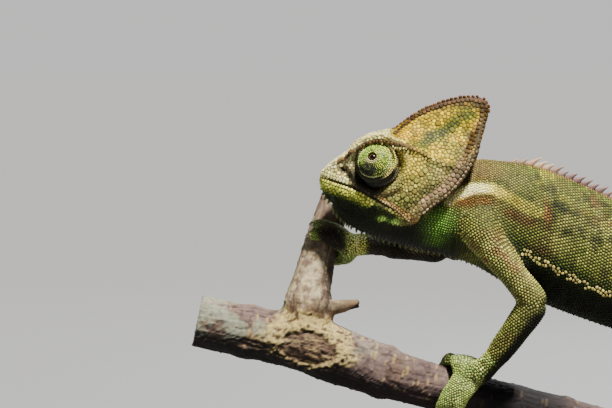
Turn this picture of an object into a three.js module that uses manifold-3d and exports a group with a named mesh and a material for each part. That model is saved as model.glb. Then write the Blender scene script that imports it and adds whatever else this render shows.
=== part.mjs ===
// Veiled chameleon (Chamaeleo calyptratus), life-size still model on a cut length of forked branch,
// held by a plain display stand. Millimetres, +Z up, head towards -X, left side towards -Y.
// Origin: centre of the model's bounding box in plan, on the underside of the stand's base.
import * as THREE from 'three';
import { mergeVertices } from 'three/addons/utils/BufferGeometryUtils.js';
import Module from 'manifold-3d';

const wasm = await Module();
wasm.setup();

const GAP = 0.3; // clearance between neighbouring solids
const DEG = Math.PI / 180;
const V = (x, y, z) => new THREE.Vector3(x, y, z);
const { clamp, lerp, smoothstep } = THREE.MathUtils;

// ------------------------------------------------------------------ driving sizes
const SNOUT = [5.1, 61.0]; // tip of the upper lip in the sagittal plane, x and z
const HEAD_PITCH = 20 * DEG; // the head is raised by this angle
const EYE = { u: 13.2, v: 8.4, y: 6.3, r: 5.5 }; // turret centre in head coordinates, and its radius
const LOOK = { left: [-0.36, -0.8, 0.48], right: [-0.42, 0.9, 0.05] }; // turrets move independently
const TAIL = { length: 158, straight: 42, heading: -32 * DEG, rOuter: 19.5, rInner: 6.4 };
const BASE = { x0: -4, x1: 174, halfWidth: 47, thick: 9, top: -51, corner: 16, bevel: 1.2 };
const ROD_R = 3;
const CREST = { teeth: 27, height: 1.7, half: 0.55 };

// ------------------------------------------------------------------ interpolation
// Uniform Catmull-Rom through rows of numbers, t from 0 to rows - 1.
function spline(rows) {
  const n = rows.length;
  const row = (k) =>
    k < 0 ? rows[0].map((a, j) => 2 * a - rows[1][j])
    : k >= n ? rows[n - 1].map((a, j) => 2 * a - rows[n - 2][j])
    : rows[k];
  return (t) => {
    const i = clamp(Math.floor(t), 0, n - 2), f = t - i;
    const [p, q, r, s] = [row(i - 1), row(i), row(i + 1), row(i + 2)];
    return q.map((_, j) =>
      0.5 * (2 * q[j] + (r[j] - p[j]) * f + (2 * p[j] - 5 * q[j] + 4 * r[j] - s[j]) * f * f +
        (3 * q[j] - p[j] - 3 * r[j] + s[j]) * f * f * f));
  };
}
// Monotone cubic through (x, y) pairs.
function curve(pairs) {
  const x = pairs.map((p) => p[0]), y = pairs.map((p) => p[1]), n = x.length;
  const d = [], m = [];
  for (let i = 0; i < n - 1; i++) d.push((y[i + 1] - y[i]) / (x[i + 1] - x[i]));
  m.push(d[0]);
  for (let i = 1; i < n - 1; i++)
    m.push(d[i - 1] * d[i] <= 0 ? 0 : (2 * d[i - 1] * d[i]) / (d[i - 1] + d[i]));
  m.push(d[n - 2]);
  return (t) => {
    t = clamp(t, x[0], x[n - 1]);
    let i = 0;
    while (i < n - 2 && t > x[i + 1]) i++;
    const h = x[i + 1] - x[i], s = (t - x[i]) / h;
    return y[i] * (1 + 2 * s) * (1 - s) ** 2 + h * m[i] * s * (1 - s) ** 2 +
      y[i + 1] * s * s * (3 - 2 * s) + h * m[i + 1] * s * s * (s - 1);
  };
}

// ------------------------------------------------------------------ solids
function solidOf(geometry) {
  const bare = geometry.index ? geometry.toNonIndexed() : geometry.clone();
  const g = mergeVertices(new THREE.BufferGeometry().setAttribute('position', bare.getAttribute('position')), 1e-4);
  const p = g.attributes.position.array, tri = [];
  const src = g.index.array;
  let vol = 0;
  for (let i = 0; i < src.length; i += 3) {
    const [a, b, c] = [src[i], src[i + 1], src[i + 2]];
    if (a === b || b === c || a === c) continue;
    tri.push(a, b, c);
    const A = V().fromArray(p, 3 * a), B = V().fromArray(p, 3 * b), C = V().fromArray(p, 3 * c);
    vol += A.dot(B.cross(C));
  }
  if (vol < 0) for (let i = 0; i < tri.length; i += 3) [tri[i + 1], tri[i + 2]] = [tri[i + 2], tri[i + 1]];
  return new wasm.Manifold(new wasm.Mesh({ numProp: 3, vertProperties: new Float32Array(p), triVerts: new Uint32Array(tri) }));
}
// A closed body whose cross-sections come from place(station, side): a capped cylinder with every vertex moved.
// centre(station) gives the middle of each end cap.
function loft(stations, sides, place, centre) {
  const g = new THREE.CylinderGeometry(1, 1, 1, sides, stations - 1, false).toNonIndexed();
  const p = g.attributes.position;
  for (let i = 0; i < p.count; i++) {
    const k = Math.round((0.5 - p.getY(i)) * (stations - 1));
    const x = p.getX(i), z = p.getZ(i);
    let at;
    if (Math.hypot(x, z) < 0.5) at = centre(k);
    else {
      const side = Math.round((Math.atan2(x, z) / (2 * Math.PI)) * sides + 2 * sides) % sides;
      at = place(k, side);
    }
    p.setXYZ(i, at.x, at.y, at.z);
  }
  return solidOf(g);
}
// A tapered tube through points, each [x, y, z, radius across, radius along 'flat'], with rounded ends.
function tube(points, { steps = 8, sides = 8, grow = 0, flat = V(0, 1, 0), ends = [1, 1], rounded = 0.16, blunt = 0.11 } = {}) {
  const at = spline(points), n = points.length - 1;
  const spots = [];
  for (let k = 0; k < steps; k++) {
    // stations bunch towards the ends, where the tube is rounded
    const s = 0.5 - 0.5 * Math.cos((Math.PI * k) / (steps - 1));
    spots.push(lerp(k / (steps - 1), s, 0.55));
  }
  const ring = spots.map((s) => {
    const a = at(s * n), b = at(clamp(s * n + 0.02, 0, n)), c = at(clamp(s * n - 0.02, 0, n));
    const dir = V(b[0] - c[0], b[1] - c[1], b[2] - c[2]).normalize();
    const e1 = flat.clone().addScaledVector(dir, -flat.dot(dir)).normalize();
    const e2 = V().crossVectors(dir, e1);
    const round = (x, on) => (on && x < 1 ? Math.sqrt(Math.max(1 - (1 - x) ** 2, blunt ** 2)) : 1);
    const f = round(s / rounded, ends[0]) * round((1 - s) / rounded, ends[1]);
    return { c: V(a[0], a[1], a[2]), e1, e2, r1: (a[4] ?? a[3]) * f + grow, r2: a[3] * f + grow };
  });
  const body = (k, j) => {
    const { c, e1, e2, r1, r2 } = ring[k], w = (2 * Math.PI * j) / sides;
    return c.clone().addScaledVector(e1, r1 * Math.cos(w)).addScaledVector(e2, r2 * Math.sin(w));
  };
  return loft(steps, sides, body, (k) => ring[k].c);
}
// Keeps the largest piece, dropping specks that a cut may leave.
function largest(solid) {
  const parts = solid.decompose();
  return parts.reduce((a, b) => (b.volume() > a.volume() ? b : a));
}
const union = (list) => list.reduce((a, b) => a.add(b));

// ------------------------------------------------------------------ head
// Head coordinates: u runs back from the snout tip along the mouth, v rises at right angles to it.
const headAt = (u, y, v) => V(
  SNOUT[0] + u * Math.cos(HEAD_PITCH) + v * Math.sin(HEAD_PITCH), y,
  SNOUT[1] - u * Math.sin(HEAD_PITCH) + v * Math.cos(HEAD_PITCH));
const HEAD_LENGTH = 36.3;
const crownV = curve([[0, 0.7], [0.7, 3], [3.1, 6.8], [6.1, 10.9], [8.9, 15], [12, 17.5], [14.3, 18.7], [15.7, 21], [18.7, 25.3], [22.9, 29.3], [27.4, 32.4], [30.7, 33.9], [33.2, 34.2], [35.1, 33.1], [36.3, 29.5]]);
const chinV = curve([[0, -0.4], [0.8, -1.9], [2, -3.5], [3.5, -5], [6, -6.4], [10, -7.1], [15, -7.1], [20, -6.4], [24, -5], [26.6, -3], [28, -0.8], [29.4, 2.4], [31.9, 6], [33.7, 9.1], [35.2, 13.6], [36.3, 20]]);
const ridgeV = curve([[0, 0.5], [0.8, 2.3], [2, 4.4], [4.7, 7.7], [6.7, 10.8], [8.6, 13.2], [11.4, 15.1], [14.5, 16.1], [17.9, 15.9], [21.5, 15.3], [25.2, 14.7], [28.5, 14.5], [33.2, 15.2], [36.3, 21]]);
const ridgeW = curve([[0, 0.9], [0.8, 2], [2, 2.9], [5, 4.7], [8.6, 7.1], [12, 8.5], [16, 9.1], [21, 9.4], [26, 9.7], [31, 9.9], [36.3, 9.4]]);
const mouthV = curve([[0, 0.1], [5.7, 0.3], [10.8, 0.1], [13.8, -0.4], [17, -0.6], [20, -1.1], [23.3, -1.9], [26.2, -2.5], [28, -0.4], [29.4, 2.8], [31.9, 6.5], [33.7, 9.6], [35.2, 14.1], [36.3, 20.4]]);
const mouthW = curve([[0, 0.8], [0.8, 2], [2, 3.1], [4, 4.6], [8, 6.7], [12, 8.1], [16, 9.1], [20, 10], [24, 10.6], [28, 10.7], [32, 10.3], [36.3, 9.6]]);
// Half width of the head at u, v.
function headHalf(u, v) {
  const vt = crownV(u), vb = chinV(u), vr = ridgeV(u), vm = mouthV(u), wr = ridgeW(u), wm = mouthW(u);
  if (v >= vr) {
    const f = clamp((v - vr) / (vt - vr), 0, 1);
    const dome = wr * Math.sqrt(1 - f * f);
    const helmet = (wr - 1) * Math.pow(1 - f, 1.45) + Math.sqrt(1 - Math.pow(f, 10));
    return lerp(dome, helmet, smoothstep(u, 10.5, 16));
  }
  if (v >= vm) {
    const g = (v - vm) / (vr - vm);
    const cheek = 0.9 * smoothstep(u, 17, 22) * (1 - smoothstep(u, 29, 35)) - 0.9 * smoothstep(u, 2.5, 6) * (1 - smoothstep(u, 9, 13));
    return lerp(wm, wr, g) + cheek * 4 * g * (1 - g);
  }
  const h = clamp((vm - v) / (vm - vb), 0, 1);
  return wm * Math.pow(1 - Math.pow(h, 2.2), 0.6);
}
const HEAD_U = [0.1, 0.8, 2.2, 4.2, 6.6, 9, 11.4, 13.6, 15.4, 18, 21.5, 25, 27.6, 30, 32.4, 34.4, 35.6, HEAD_LENGTH];
const HEAD_RING = [0, 0.3, 0.66, 1, 1.46, 2, 2.2, 2.46, 2.76, 3]; // 0-1 jaw, 1-2 cheek, 2-3 crown
function headSolid(grow = 0) {
  const half = HEAD_RING.length - 1, sides = 2 * half;
  const level = (u, q) =>
    q <= 1 ? lerp(chinV(u), mouthV(u), q)
    : q <= 2 ? lerp(mouthV(u), ridgeV(u), q - 1)
    : lerp(ridgeV(u), crownV(u), q - 2);
  const span = (k) => (k === 0 ? HEAD_U[0] - grow : k === HEAD_U.length - 1 ? HEAD_LENGTH + grow : HEAD_U[k]);
  return loft(HEAD_U.length, sides, (k, j) => {
    const u = HEAD_U[k], i = j <= half ? j : sides - j, sign = j <= half ? -1 : 1;
    const v = level(u, HEAD_RING[i]);
    const edge = i === 0 || i === half;
    const w = edge ? 0 : headHalf(u, v) + grow;
    return headAt(span(k), sign * w, v + (i === 0 ? -grow : i === half ? grow : 0));
  }, (k) => headAt(span(k), 0, (crownV(HEAD_U[k]) + chinV(HEAD_U[k])) / 2));
}
// A thin sheet across the head that follows v = line(u), used to part it.
function headCut(line, u0, u1, steps = 10, drop = 0) {
  const s = new THREE.Shape();
  const pts = [];
  for (let i = 0; i <= steps; i++) { const u = lerp(u0, u1, i / steps); pts.push([u, line(u)]); }
  pts.forEach(([u, v], i) => { const p = headAt(u, 0, v + GAP / 2); i ? s.lineTo(p.x, p.z) : s.moveTo(p.x, p.z); });
  pts.reverse().forEach(([u, v]) => { const p = headAt(u, 0, v - GAP / 2 - drop); s.lineTo(p.x, p.z); });
  const g = new THREE.ExtrudeGeometry(s, { depth: 60, bevelEnabled: false });
  g.rotateX(Math.PI / 2).translate(0, 30, 0);
  return solidOf(g);
}

// ------------------------------------------------------------------ trunk, from the chin to the vent
// Sections as [back x, back z, belly x, belly z, half width]
const TRUNK = [
  [9.4, 55.2, 8.3, 52.6, 1.6],
  [12.2, 55.4, 10.6, 49.9, 3.6],
  [16.4, 55.6, 14, 47.2, 5.2],
  [23.7, 56.8, 19.6, 44.8, 6.6],
  [32, 60, 27, 42.6, 7.8],
  [40, 64.6, 34.2, 41, 8.4],
  [46.4, 65.8, 41, 39.2, 8.8],
  [52.6, 65.3, 47.4, 36.6, 9.3],
  [58.4, 64.7, 53.6, 32.8, 9.7],
  [64.5, 63, 60, 29.2, 10],
  [71.1, 60.4, 66.4, 26.3, 10.2],
  [78.2, 57.2, 73.4, 23.7, 10.2],
  [86.8, 53, 82.1, 20.7, 10],
  [97.4, 48, 92.6, 17.7, 9.4],
  [107.9, 42.4, 103, 15, 8.6],
  [117.9, 36.6, 113.4, 13, 7.6],
  [126.8, 31, 123.4, 12.3, 6.4],
  [134.6, 25.9, 130.6, 12.7, 5],
  [141.2, 21.4, 136.4, 13.7, 4.1],
];
const trunkAt = spline(TRUNK);
const TRUNK_END = TRUNK.length - 1;
// The tail's centre line and radius at s mm behind the vent: straight, then a flat spiral that hangs and curls in.
const tailR = curve([[0, 4.3], [20, 3.8], [42, 3.25], [80, 2.45], [115, 1.7], [145, 1.05], [155, 0.8], [158, 0.35]]);
const tailPath = (() => {
  const step = 0.5, out = [[138.8, 0, 17.55]];
  let h = TAIL.heading, [x, , z] = out[0];
  for (let s = step; s <= TAIL.length + 1e-6; s += step) {
    const t = clamp((s - TAIL.straight) / (TAIL.length - TAIL.straight), 0, 1);
    const bend = s < TAIL.straight ? smoothstep(s, 14, TAIL.straight) / 40 * 0.6 : 1 / lerp(TAIL.rOuter, TAIL.rInner, t);
    h -= bend * step * (s < TAIL.straight ? 1 : smoothstep(s, TAIL.straight - 14, TAIL.straight + 6));
    x += Math.cos(h) * step; z += Math.sin(h) * step;
    out.push([x, -6 * smoothstep(s, 24, TAIL.length), z]);
  }
  return (s) => { const i = clamp(s / step, 0, out.length - 1.001), k = Math.floor(i), f = i - k; return V(...out[k].map((a, j) => lerp(a, out[k + 1][j], f))); };
})();
const RING_WIDEST = 0.58; // the widest level, as a share of the way from the back to the belly
function bodySection(t, a, grow) { // t in stations of TRUNK, a from 0 at the back round to pi at the belly
  const [bx, bz, vx, vz, hw] = trunkAt(t);
  const D = V(bx, 0, bz), B = V(vx, 0, vz), C = D.clone().lerp(B, RING_WIDEST);
  const up = D.clone().sub(C), down = B.clone().sub(C);
  const c = Math.cos(a), s = Math.sin(a);
  const arm = c >= 0 ? up : down, reach = arm.length();
  const y = (hw + grow) * Math.sign(s) * Math.pow(Math.abs(s), c >= 0 ? 1.22 : 1.12);
  return C.addScaledVector(arm, (Math.abs(c) * (reach + grow)) / reach).add(V(0, -y, 0));
}
function bodySolid(t0, t1, stations, sides, grow = 0) {
  const T = (k) => lerp(t0, t1, k / (stations - 1));
  return loft(stations, sides, (k, j) => bodySection(T(k), (2 * Math.PI * j) / sides, grow),
    (k) => { const [a, b, c, d] = trunkAt(T(k)); return V((a + c) / 2, 0, (b + d) / 2); });
}
function tailSolid(s0, s1, stations, sides, grow = 0) {
  const S = (k) => lerp(s0, s1, k / (stations - 1));
  const place = (k, j) => {
    const s = S(k), c = tailPath(s), d = tailPath(Math.min(s + 0.6, TAIL.length)).sub(tailPath(Math.max(s - 0.6, 0))).normalize();
    const side = V(0, 1, 0).addScaledVector(d, -d.y).normalize(), up = V().crossVectors(d, side).multiplyScalar(-1);
    const a = (2 * Math.PI * j) / sides, r = tailR(s) + grow;
    return c.addScaledVector(up, r * 1.06 * Math.cos(a)).addScaledVector(side, -r * 0.94 * Math.sin(a));
  };
  return loft(stations, sides, place, (k) => tailPath(S(k)));
}
// A saw-toothed ridge in the sagittal plane along a line of points, with teeth leaning back.
function crest(line, teeth, height, half, lean = 0.5) {
  const s = new THREE.Shape(), top = [], low = [];
  for (let i = 0; i <= teeth; i++) {
    const [p, n] = line(i / teeth), h = height(i / teeth);
    low.push([p.x - n.x * 1.2, p.z - n.z * 1.2]);
    top.push([p.x, p.z]);
    if (i < teeth) {
      const [q] = line((i + lean + 0.35) / teeth);
      top.push([q.x + n.x * h, q.z + n.z * h]);
    }
  }
  const pts = [...top, ...low.reverse()];
  pts.forEach(([x, z], i) => (i ? s.lineTo(x, z) : s.moveTo(x, z)));
  const g = new THREE.ExtrudeGeometry(s, { depth: 2 * half, bevelEnabled: false });
  g.rotateX(Math.PI / 2).translate(0, half, 0);
  return solidOf(g);
}
const backLine = (t0, t1) => (f) => {
  const t = lerp(t0, t1, f), [x, , ] = trunkAt(t), z = trunkAt(t)[1], a = trunkAt(t + 0.05), b = trunkAt(t - 0.05);
  const d = V(a[0] - b[0], 0, a[1] - b[1]).normalize();
  return [V(x, 0, z - 0.25), V(-d.z, 0, d.x)];
};
const bellyLine = (t0, t1) => (f) => {
  const t = lerp(t0, t1, f), r = trunkAt(t), a = trunkAt(t + 0.05), b = trunkAt(t - 0.05);
  const d = V(a[2] - b[2], 0, a[3] - b[3]).normalize();
  return [V(r[2], 0, r[3] + 0.25), V(d.z, 0, -d.x)];
};

// ------------------------------------------------------------------ perch
// The main branch as [x, y, z, radius], the fork that rises from it, and a dead side twig.
const BRANCH = spline([[-27, 0, 22.7, 6.6], [-12, 0, 19.4, 6.7], [2.5, 0, 16.2, 7.7], [14, 0, 11.8, 7.2], [31.6, 0, 6.1, 6.05], [60, 0, -1.3, 5.85], [84, 0, -7.5, 5.75], [108, 0, -13.9, 5.7], [134, 0, -20.6, 5.6]]);
const FORK = [[1, 0, 17, 7], [2, 1.6, 25.6, 6.5], [3.4, 4.6, 33.3, 5.2], [5.5, 8.8, 41.4, 4.6], [8.2, 13.4, 49.2, 4.4], [10.2, 16.6, 54.8, 4.2]];
const STUB = [[3, 0.2, 24.4, 2.8], [8, -0.2, 26, 1.9], [15.6, -1, 27.4, 1.15]];
const branchAt = (x) => { // the axis at a given x: point, direction along +X, radius
  let t = 0, hi = 8;
  for (let i = 0, lo = 0; i < 40; i++) { t = (lo + hi) / 2; if (BRANCH(t)[0] < x) lo = t; else hi = t; }
  const p = BRANCH(t), a = BRANCH(Math.min(t + 0.02, 8)), b = BRANCH(Math.max(t - 0.02, 0));
  return { p: V(p[0], p[1], p[2]), d: V(a[0] - b[0], 0, a[2] - b[2]).normalize(), r: p[3] };
};
function perchSolid(grow = 0, sides = 11) {
  const steps = 12;
  const main = loft(steps, sides, (k, j) => {
    const b = branchAt(lerp(-27, 134, k / (steps - 1))), a = (2 * Math.PI * j) / sides;
    const n = V(-b.d.z, 0, b.d.x), r = b.r + grow;
    const end = k === 0 ? -grow : k === steps - 1 ? grow : 0;
    return b.p.clone().addScaledVector(b.d, end).addScaledVector(n, r * Math.cos(a)).add(V(0, r * Math.sin(a), 0));
  }, (k) => { const b = branchAt(lerp(-27, 134, k / (steps - 1))); return b.p.addScaledVector(b.d, k ? grow : -grow); });
  const fork = tube(FORK, { steps: 7, sides: 9, grow, ends: [0, 0] });
  const stub = tube(STUB, { steps: 4, sides: 5, grow, ends: [0, 0] });
  return main.add(fork).add(stub);
}

// ------------------------------------------------------------------ limbs
// Each limb: [x, y, z, radius in the limb's plane, radius across it], and the direction across it.
const LIMBS = {
  arm_left: {
    across: [V(0, 1, 0), V(0, 1, 0)],
    upper: [[43.8, -5.2, 53.9, 7.7, 4.2], [47.2, -7.8, 47.3, 5.4, 4.9], [50, -9.4, 42.6, 4.3, 4.5], [54.3, -11, 37.2, 3.75, 4.1], [59.3, -12.2, 30.9, 3.8, 3.9], [61.3, -12.6, 27.4, 3.6, 3.8]],
    lower: [[60.9, -12.4, 30.6, 3.6, 3.7], [59.2, -12.1, 27.4, 4, 3.75], [56.1, -11.6, 22.7, 3.75, 3.5], [50.6, -9.6, 14.6, 3.35, 3.2], [46.2, -7.2, 9.8, 3.5, 3.2]],
  },
  arm_right: {
    across: [V(1, 0, 0), V(0, 0, 1)],
    upper: [[47, 5.2, 51.6, 4.6, 7.2], [47, 12.4, 46.6, 4.8, 5.2], [45.8, 18, 43.2, 4.2, 4.3], [44.2, 24, 40.4, 4, 4.1], [42.2, 30.8, 37.8, 4, 4.1]],
    lower: [[41.6, 30.8, 37.8, 4, 3.9], [32.6, 25, 39, 3.5, 3.5], [24, 18.6, 40.2, 3.15, 3.2], [17.6, 12.8, 41.6, 3.3, 3.2]],
  },
  leg_left: {
    across: [V(0, 1, 0), V(0, 1, 0)],
    upper: [[125.6, -2.8, 25.2, 6.4, 3.8], [121.6, -8, 24.6, 6, 4.9], [115, -12.6, 23.2, 5.2, 4.8], [108.4, -15.8, 21.6, 4.6, 4.4], [101.8, -18.4, 19.6, 4.2, 4]],
    lower: [[101.4, -18.6, 18.8, 4.1, 3.9], [102.4, -15.6, 11.2, 3.9, 3.7], [103.4, -11.6, 3.4, 3.3, 3.2], [103.8, -7.4, -2.8, 3.4, 3.2]],
  },
  leg_right: {
    across: [V(0, 1, 0), V(0, 1, 0)],
    upper: [[126, 2.8, 25, 6.2, 3.8], [123.6, 8, 22.4, 6, 4.9], [119.4, 12.8, 17.6, 5.2, 4.8], [114.8, 16.4, 12.8, 4.6, 4.4], [110.4, 19.4, 8, 4.2, 4]],
    lower: [[110.2, 19.6, 7.2, 4.1, 3.9], [115, 16.6, 2, 3.9, 3.7], [121, 12, -4.4, 3.3, 3.2], [125.2, 7.6, -8.8, 3.4, 3.2]],
  },
};
// Feet grip like tongs: one bundle of toes on each side of the wood. up points from the wood's axis to the palm.
const onBranch = (x, up) => { const b = branchAt(x); return { p: b.p, along: b.d, r: b.r, up }; };
const forkAt = (t) => { const f = spline(FORK), p = f(t), a = f(t + 0.02), b = f(t - 0.02); return { p: V(p[0], p[1], p[2]), along: V(a[0] - b[0], a[1] - b[1], a[2] - b[2]).normalize(), r: p[3] }; };
const FEET = {
  hand_left: { limb: 'arm_left', at: onBranch(43.6, V(0.14, -0.46, 1)), palm: 0.8, bundles: {
    outer: { side: -1, toes: 2, from: 0.55, to: 1.85, r: 2.2, shift: 1.4, skew: -5.4 },
    inner: { side: 1, toes: 3, from: 0.35, to: 1.75, r: 1.75, shift: -3.2, skew: -0.4 } } },
  hand_right: { limb: 'arm_right', at: { ...forkAt(3.12), up: V(0.95, 0.12, 0.2) }, palm: 0, bundles: {
    outer: { side: 1, toes: 2, from: 0.6, to: 2.1, r: 1.95, shift: 0, skew: 0.6 },
    inner: { side: -1, toes: 3, from: 0.6, to: 2.1, r: 1.6, shift: 0, skew: 0.8 } } },
  foot_left: { limb: 'leg_left', at: onBranch(102.8, V(0.1, -0.4, 1)), palm: 0.4, bundles: {
    outer: { side: -1, toes: 3, from: 0.5, to: 1.95, r: 1.75, shift: 0.4, skew: -1.6 },
    inner: { side: 1, toes: 2, from: 0.5, to: 1.95, r: 2.05, shift: -0.2, skew: 0.6 } } },
  foot_right: { limb: 'leg_right', at: onBranch(125.2, V(0.1, 0.4, 1)), palm: 0.4, bundles: {
    outer: { side: 1, toes: 3, from: 0.5, to: 1.95, r: 1.75, shift: 0.2, skew: 1 },
    inner: { side: -1, toes: 2, from: 0.5, to: 1.95, r: 2.05, shift: 0, skew: 0.4 } } },
};
function footFrame(f) {
  const T = f.at.along, N = f.at.up.clone().addScaledVector(T, -f.at.up.dot(T)).normalize();
  const Y = V().crossVectors(N, T); // towards +Y on wood that runs along +X
  return { T, N, Y, p: f.at.p, r: f.at.r };
}
const TOE_PITCH = 1.45; // spacing of a bundle's toes, in toe radii
// The line of toe j of a bundle (j may be fractional): w runs from 0 at the palm to 1 at the toe tip, then along the claw.
function toePath(f, b, j) {
  const { T, N, Y, p, r } = footFrame(f);
  const a0 = (j - (b.toes - 1) / 2) * b.r * TOE_PITCH;
  return (w) => {
    const phi = lerp(b.from, b.to, w), fat = b.r * lerp(1.12, 0.8, clamp(w, 0, 1));
    const spread = 1 + 0.22 * clamp(w, 0, 1.3);
    const lift = r + GAP + 0.15 + (w <= 1 ? fat : lerp(fat, 0.3, clamp((w - 1) / 0.24, 0, 1)));
    const c = p.clone().addScaledVector(T, a0 * spread + b.shift + b.skew * Math.sin(clamp(phi, 0, 1.57)))
      .addScaledVector(N, lift * Math.cos(phi)).addScaledVector(Y, b.side * lift * Math.sin(phi));
    return [c, fat];
  };
}
// A bundle of toes in one mitt, free only at their tips.
function bundleSolid(f, b, grow = 0) {
  const mid = toePath(f, b, (b.toes - 1) / 2), pts = [], { T } = footFrame(f);
  for (let i = 0; i <= 3; i++) {
    const [c, fat] = mid(lerp(0, 0.78, i / 3)), half = ((b.toes - 1) / 2) * b.r * TOE_PITCH * (1 + 0.17 * (i / 3)) + fat * 0.9;
    pts.push([c.x, c.y, c.z, fat, half]);
  }
  const parts = [tube(pts, { steps: 4, sides: 7, grow, flat: T, rounded: 0.35, blunt: 0.3, ends: [0, 1] })];
  for (let j = 0; j < b.toes; j++) {
    const path = toePath(f, b, j), line = [];
    for (let i = 0; i <= 2; i++) { const [c, fat] = path(lerp(0.42, 1, i / 2)); line.push([c.x, c.y, c.z, fat * 0.98]); }
    parts.push(tube(line, { steps: 3, sides: 5, grow, flat: T, rounded: 0.5, blunt: 0.5, ends: [0, 1] }));
  }
  return union(parts);
}
function clawSolid(f, b, j) {
  const path = toePath(f, b, j), pts = [], start = 1 + (1.6 * GAP) / (f.at.r + b.r) / (b.to - b.from);
  for (let i = 0; i <= 2; i++) { const w = lerp(start, 1.24, i / 2), [c] = path(w); pts.push([c.x, c.y, c.z, lerp(0.72, 0.26, i / 2), lerp(0.6, 0.26, i / 2)]); }
  return tube(pts, { steps: 3, sides: 4, flat: footFrame(f).T, ends: [0, 0] });
}
// The palm lies over the wood as a saddle between the two bundles, thickest in its middle.
function palmSolid(f, grow = 0) {
  const { T, N, Y, p, r } = footFrame(f), bundles = Object.values(f.bundles), pts = [];
  const end = (b) => {
    const [c, fat] = toePath(f, b, (b.toes - 1) / 2)(0);
    return { b, c, fat, phi: b.side * b.from, half: ((b.toes - 1) / 2) * b.r * TOE_PITCH + fat * 0.9 };
  };
  const [A, B] = bundles.map(end).sort((m, n) => m.phi - n.phi);
  const edge = (GAP + grow) / (r + 2);
  for (let i = 0; i <= 4; i++) {
    const k = i / 4, phi = lerp(A.phi + edge - (grow ? GAP / (r + 2) : 0), B.phi - edge + (grow ? GAP / (r + 2) : 0), k);
    const along = lerp(A.b.shift + A.b.skew * Math.sin(A.b.from), B.b.shift + B.b.skew * Math.sin(B.b.from), k) + f.palm * Math.sin(Math.PI * k);
    const fat = lerp(A.fat, B.fat, k) + 0.7 * Math.sin(Math.PI * k), lift = r + GAP + 0.15 + fat;
    const c = p.clone().addScaledVector(T, along).addScaledVector(N, lift * Math.cos(phi)).addScaledVector(Y, lift * Math.sin(phi));
    pts.push([c.x, c.y, c.z, fat, lerp(A.half, B.half, k) + 0.5 * Math.sin(Math.PI * k)]);
  }
  return tube(pts, { steps: 4, sides: 8, grow, flat: T, ends: [0, 0] });
}

// ------------------------------------------------------------------ make the animal
const COLOUR = {
  skin: [0x7f8440, 0.62], head: [0xa39a4c, 0.6], casque: [0xb09a48, 0.6], belly: [0x59622c, 0.65],
  eye: [0x8fb256, 0.5], ball: [0x1c120a, 0.12], hand: [0x93a55e, 0.62], claw: [0x8d7d62, 0.45],
  bark: [0x6b5c55, 0.9], base: [0x2c2521, 0.5], rod: [0x8e9195, 0.3],
};
const root = new THREE.Group();
function add(name, solid, key) {
  const m = largest(solid).getMesh(), n = m.numProp, pos = new Float32Array(m.numVert * 3);
  for (let i = 0; i < m.numVert; i++) pos.set(m.vertProperties.subarray(i * n, i * n + 3), i * 3);
  const g = new THREE.BufferGeometry();
  g.setAttribute('position', new THREE.BufferAttribute(pos, 3));
  g.setIndex(new THREE.BufferAttribute(m.triVerts, 1));
  g.computeVertexNormals();
  const [color, roughness] = COLOUR[key];
  const mesh = new THREE.Mesh(g, new THREE.MeshStandardMaterial({ color, roughness, metalness: key === 'rod' ? 1 : 0, flatShading: true }));
  mesh.name = name;
  root.add(mesh);
}

// Eyes
const eyeFrame = (side) => {
  const s = side === 'left' ? -1 : 1, c = headAt(EYE.u, s * EYE.y, EYE.v), look = V(...LOOK[side]).normalize();
  return { c, look, q: new THREE.Quaternion().setFromUnitVectors(V(0, 1, 0), look), s };
};
function turretSolid(side, grow = 0) {
  const { c, q } = eyeFrame(side), R = EYE.r + grow;
  // profile from the axis behind the turret to the rim of the lid opening, and down into the opening
  const profile = [[0, -4.4], [3.4, -3.8], [5.2, -1.6], [5.4, 0.8], [4.75, 2.7], [3.6, 4.2], [2.3, 5.2], [1.3, 5.5], [1.12, 3.6], [0, 3.6]];
  const shell = grow ? [[0, -R], [R * 0.5, -R * 0.87], [R * 0.87, -R * 0.5], [R, 0], [R * 0.96, R * 0.28], [R * 0.87, R * 0.5], [R * 0.5, R * 0.87], [0, R * 1.03]] : profile;
  const g = new THREE.LatheGeometry(shell.map(([x, y]) => new THREE.Vector2(x, y)), 11);
  g.applyQuaternion(q).translate(c.x, c.y, c.z);
  return solidOf(g);
}
function eyeballSolid(side) {
  const { c, q, look } = eyeFrame(side);
  const g = new THREE.SphereGeometry(0.8, 8, 5);
  g.applyQuaternion(q).translate(c.x + look.x * 4.75, c.y + look.y * 4.75, c.z + look.z * 4.75);
  return solidOf(g);
}
const sockets = turretSolid('left', GAP).add(turretSolid('right', GAP));

// Head, lower jaw and casque
const headGrown = headSolid(GAP).add(turretSolid('left', GAP)).add(turretSolid('right', GAP));
const helmetLine = curve([[9, 17.6], [14, 17.6], [18, 17.1], [23, 16.2], [28, 15.8], [33, 16.6], [38, 19]]);
const jawLine = curve([[-2, 0.1], [5.7, 0.3], [10.8, 0.1], [13.8, -0.4], [17, -0.6], [20, -1.1], [23.3, -1.9], [25.2, -2.8], [27, -4.4], [28.4, -6.2]]);
const headPieces = headSolid().subtract(sockets)
  .subtract(headCut(jawLine, -2, 28.4, 15))
  .subtract(headCut(helmetLine, 10.4, 38, 13))
  .decompose().filter((p) => p.volume() > 20);
const level = (s) => { const b = s.boundingBox(); return b.min[2] + b.max[2]; };
headPieces.sort((a, b) => level(b) - level(a));
const [casque, face, jaw] = headPieces;

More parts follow.
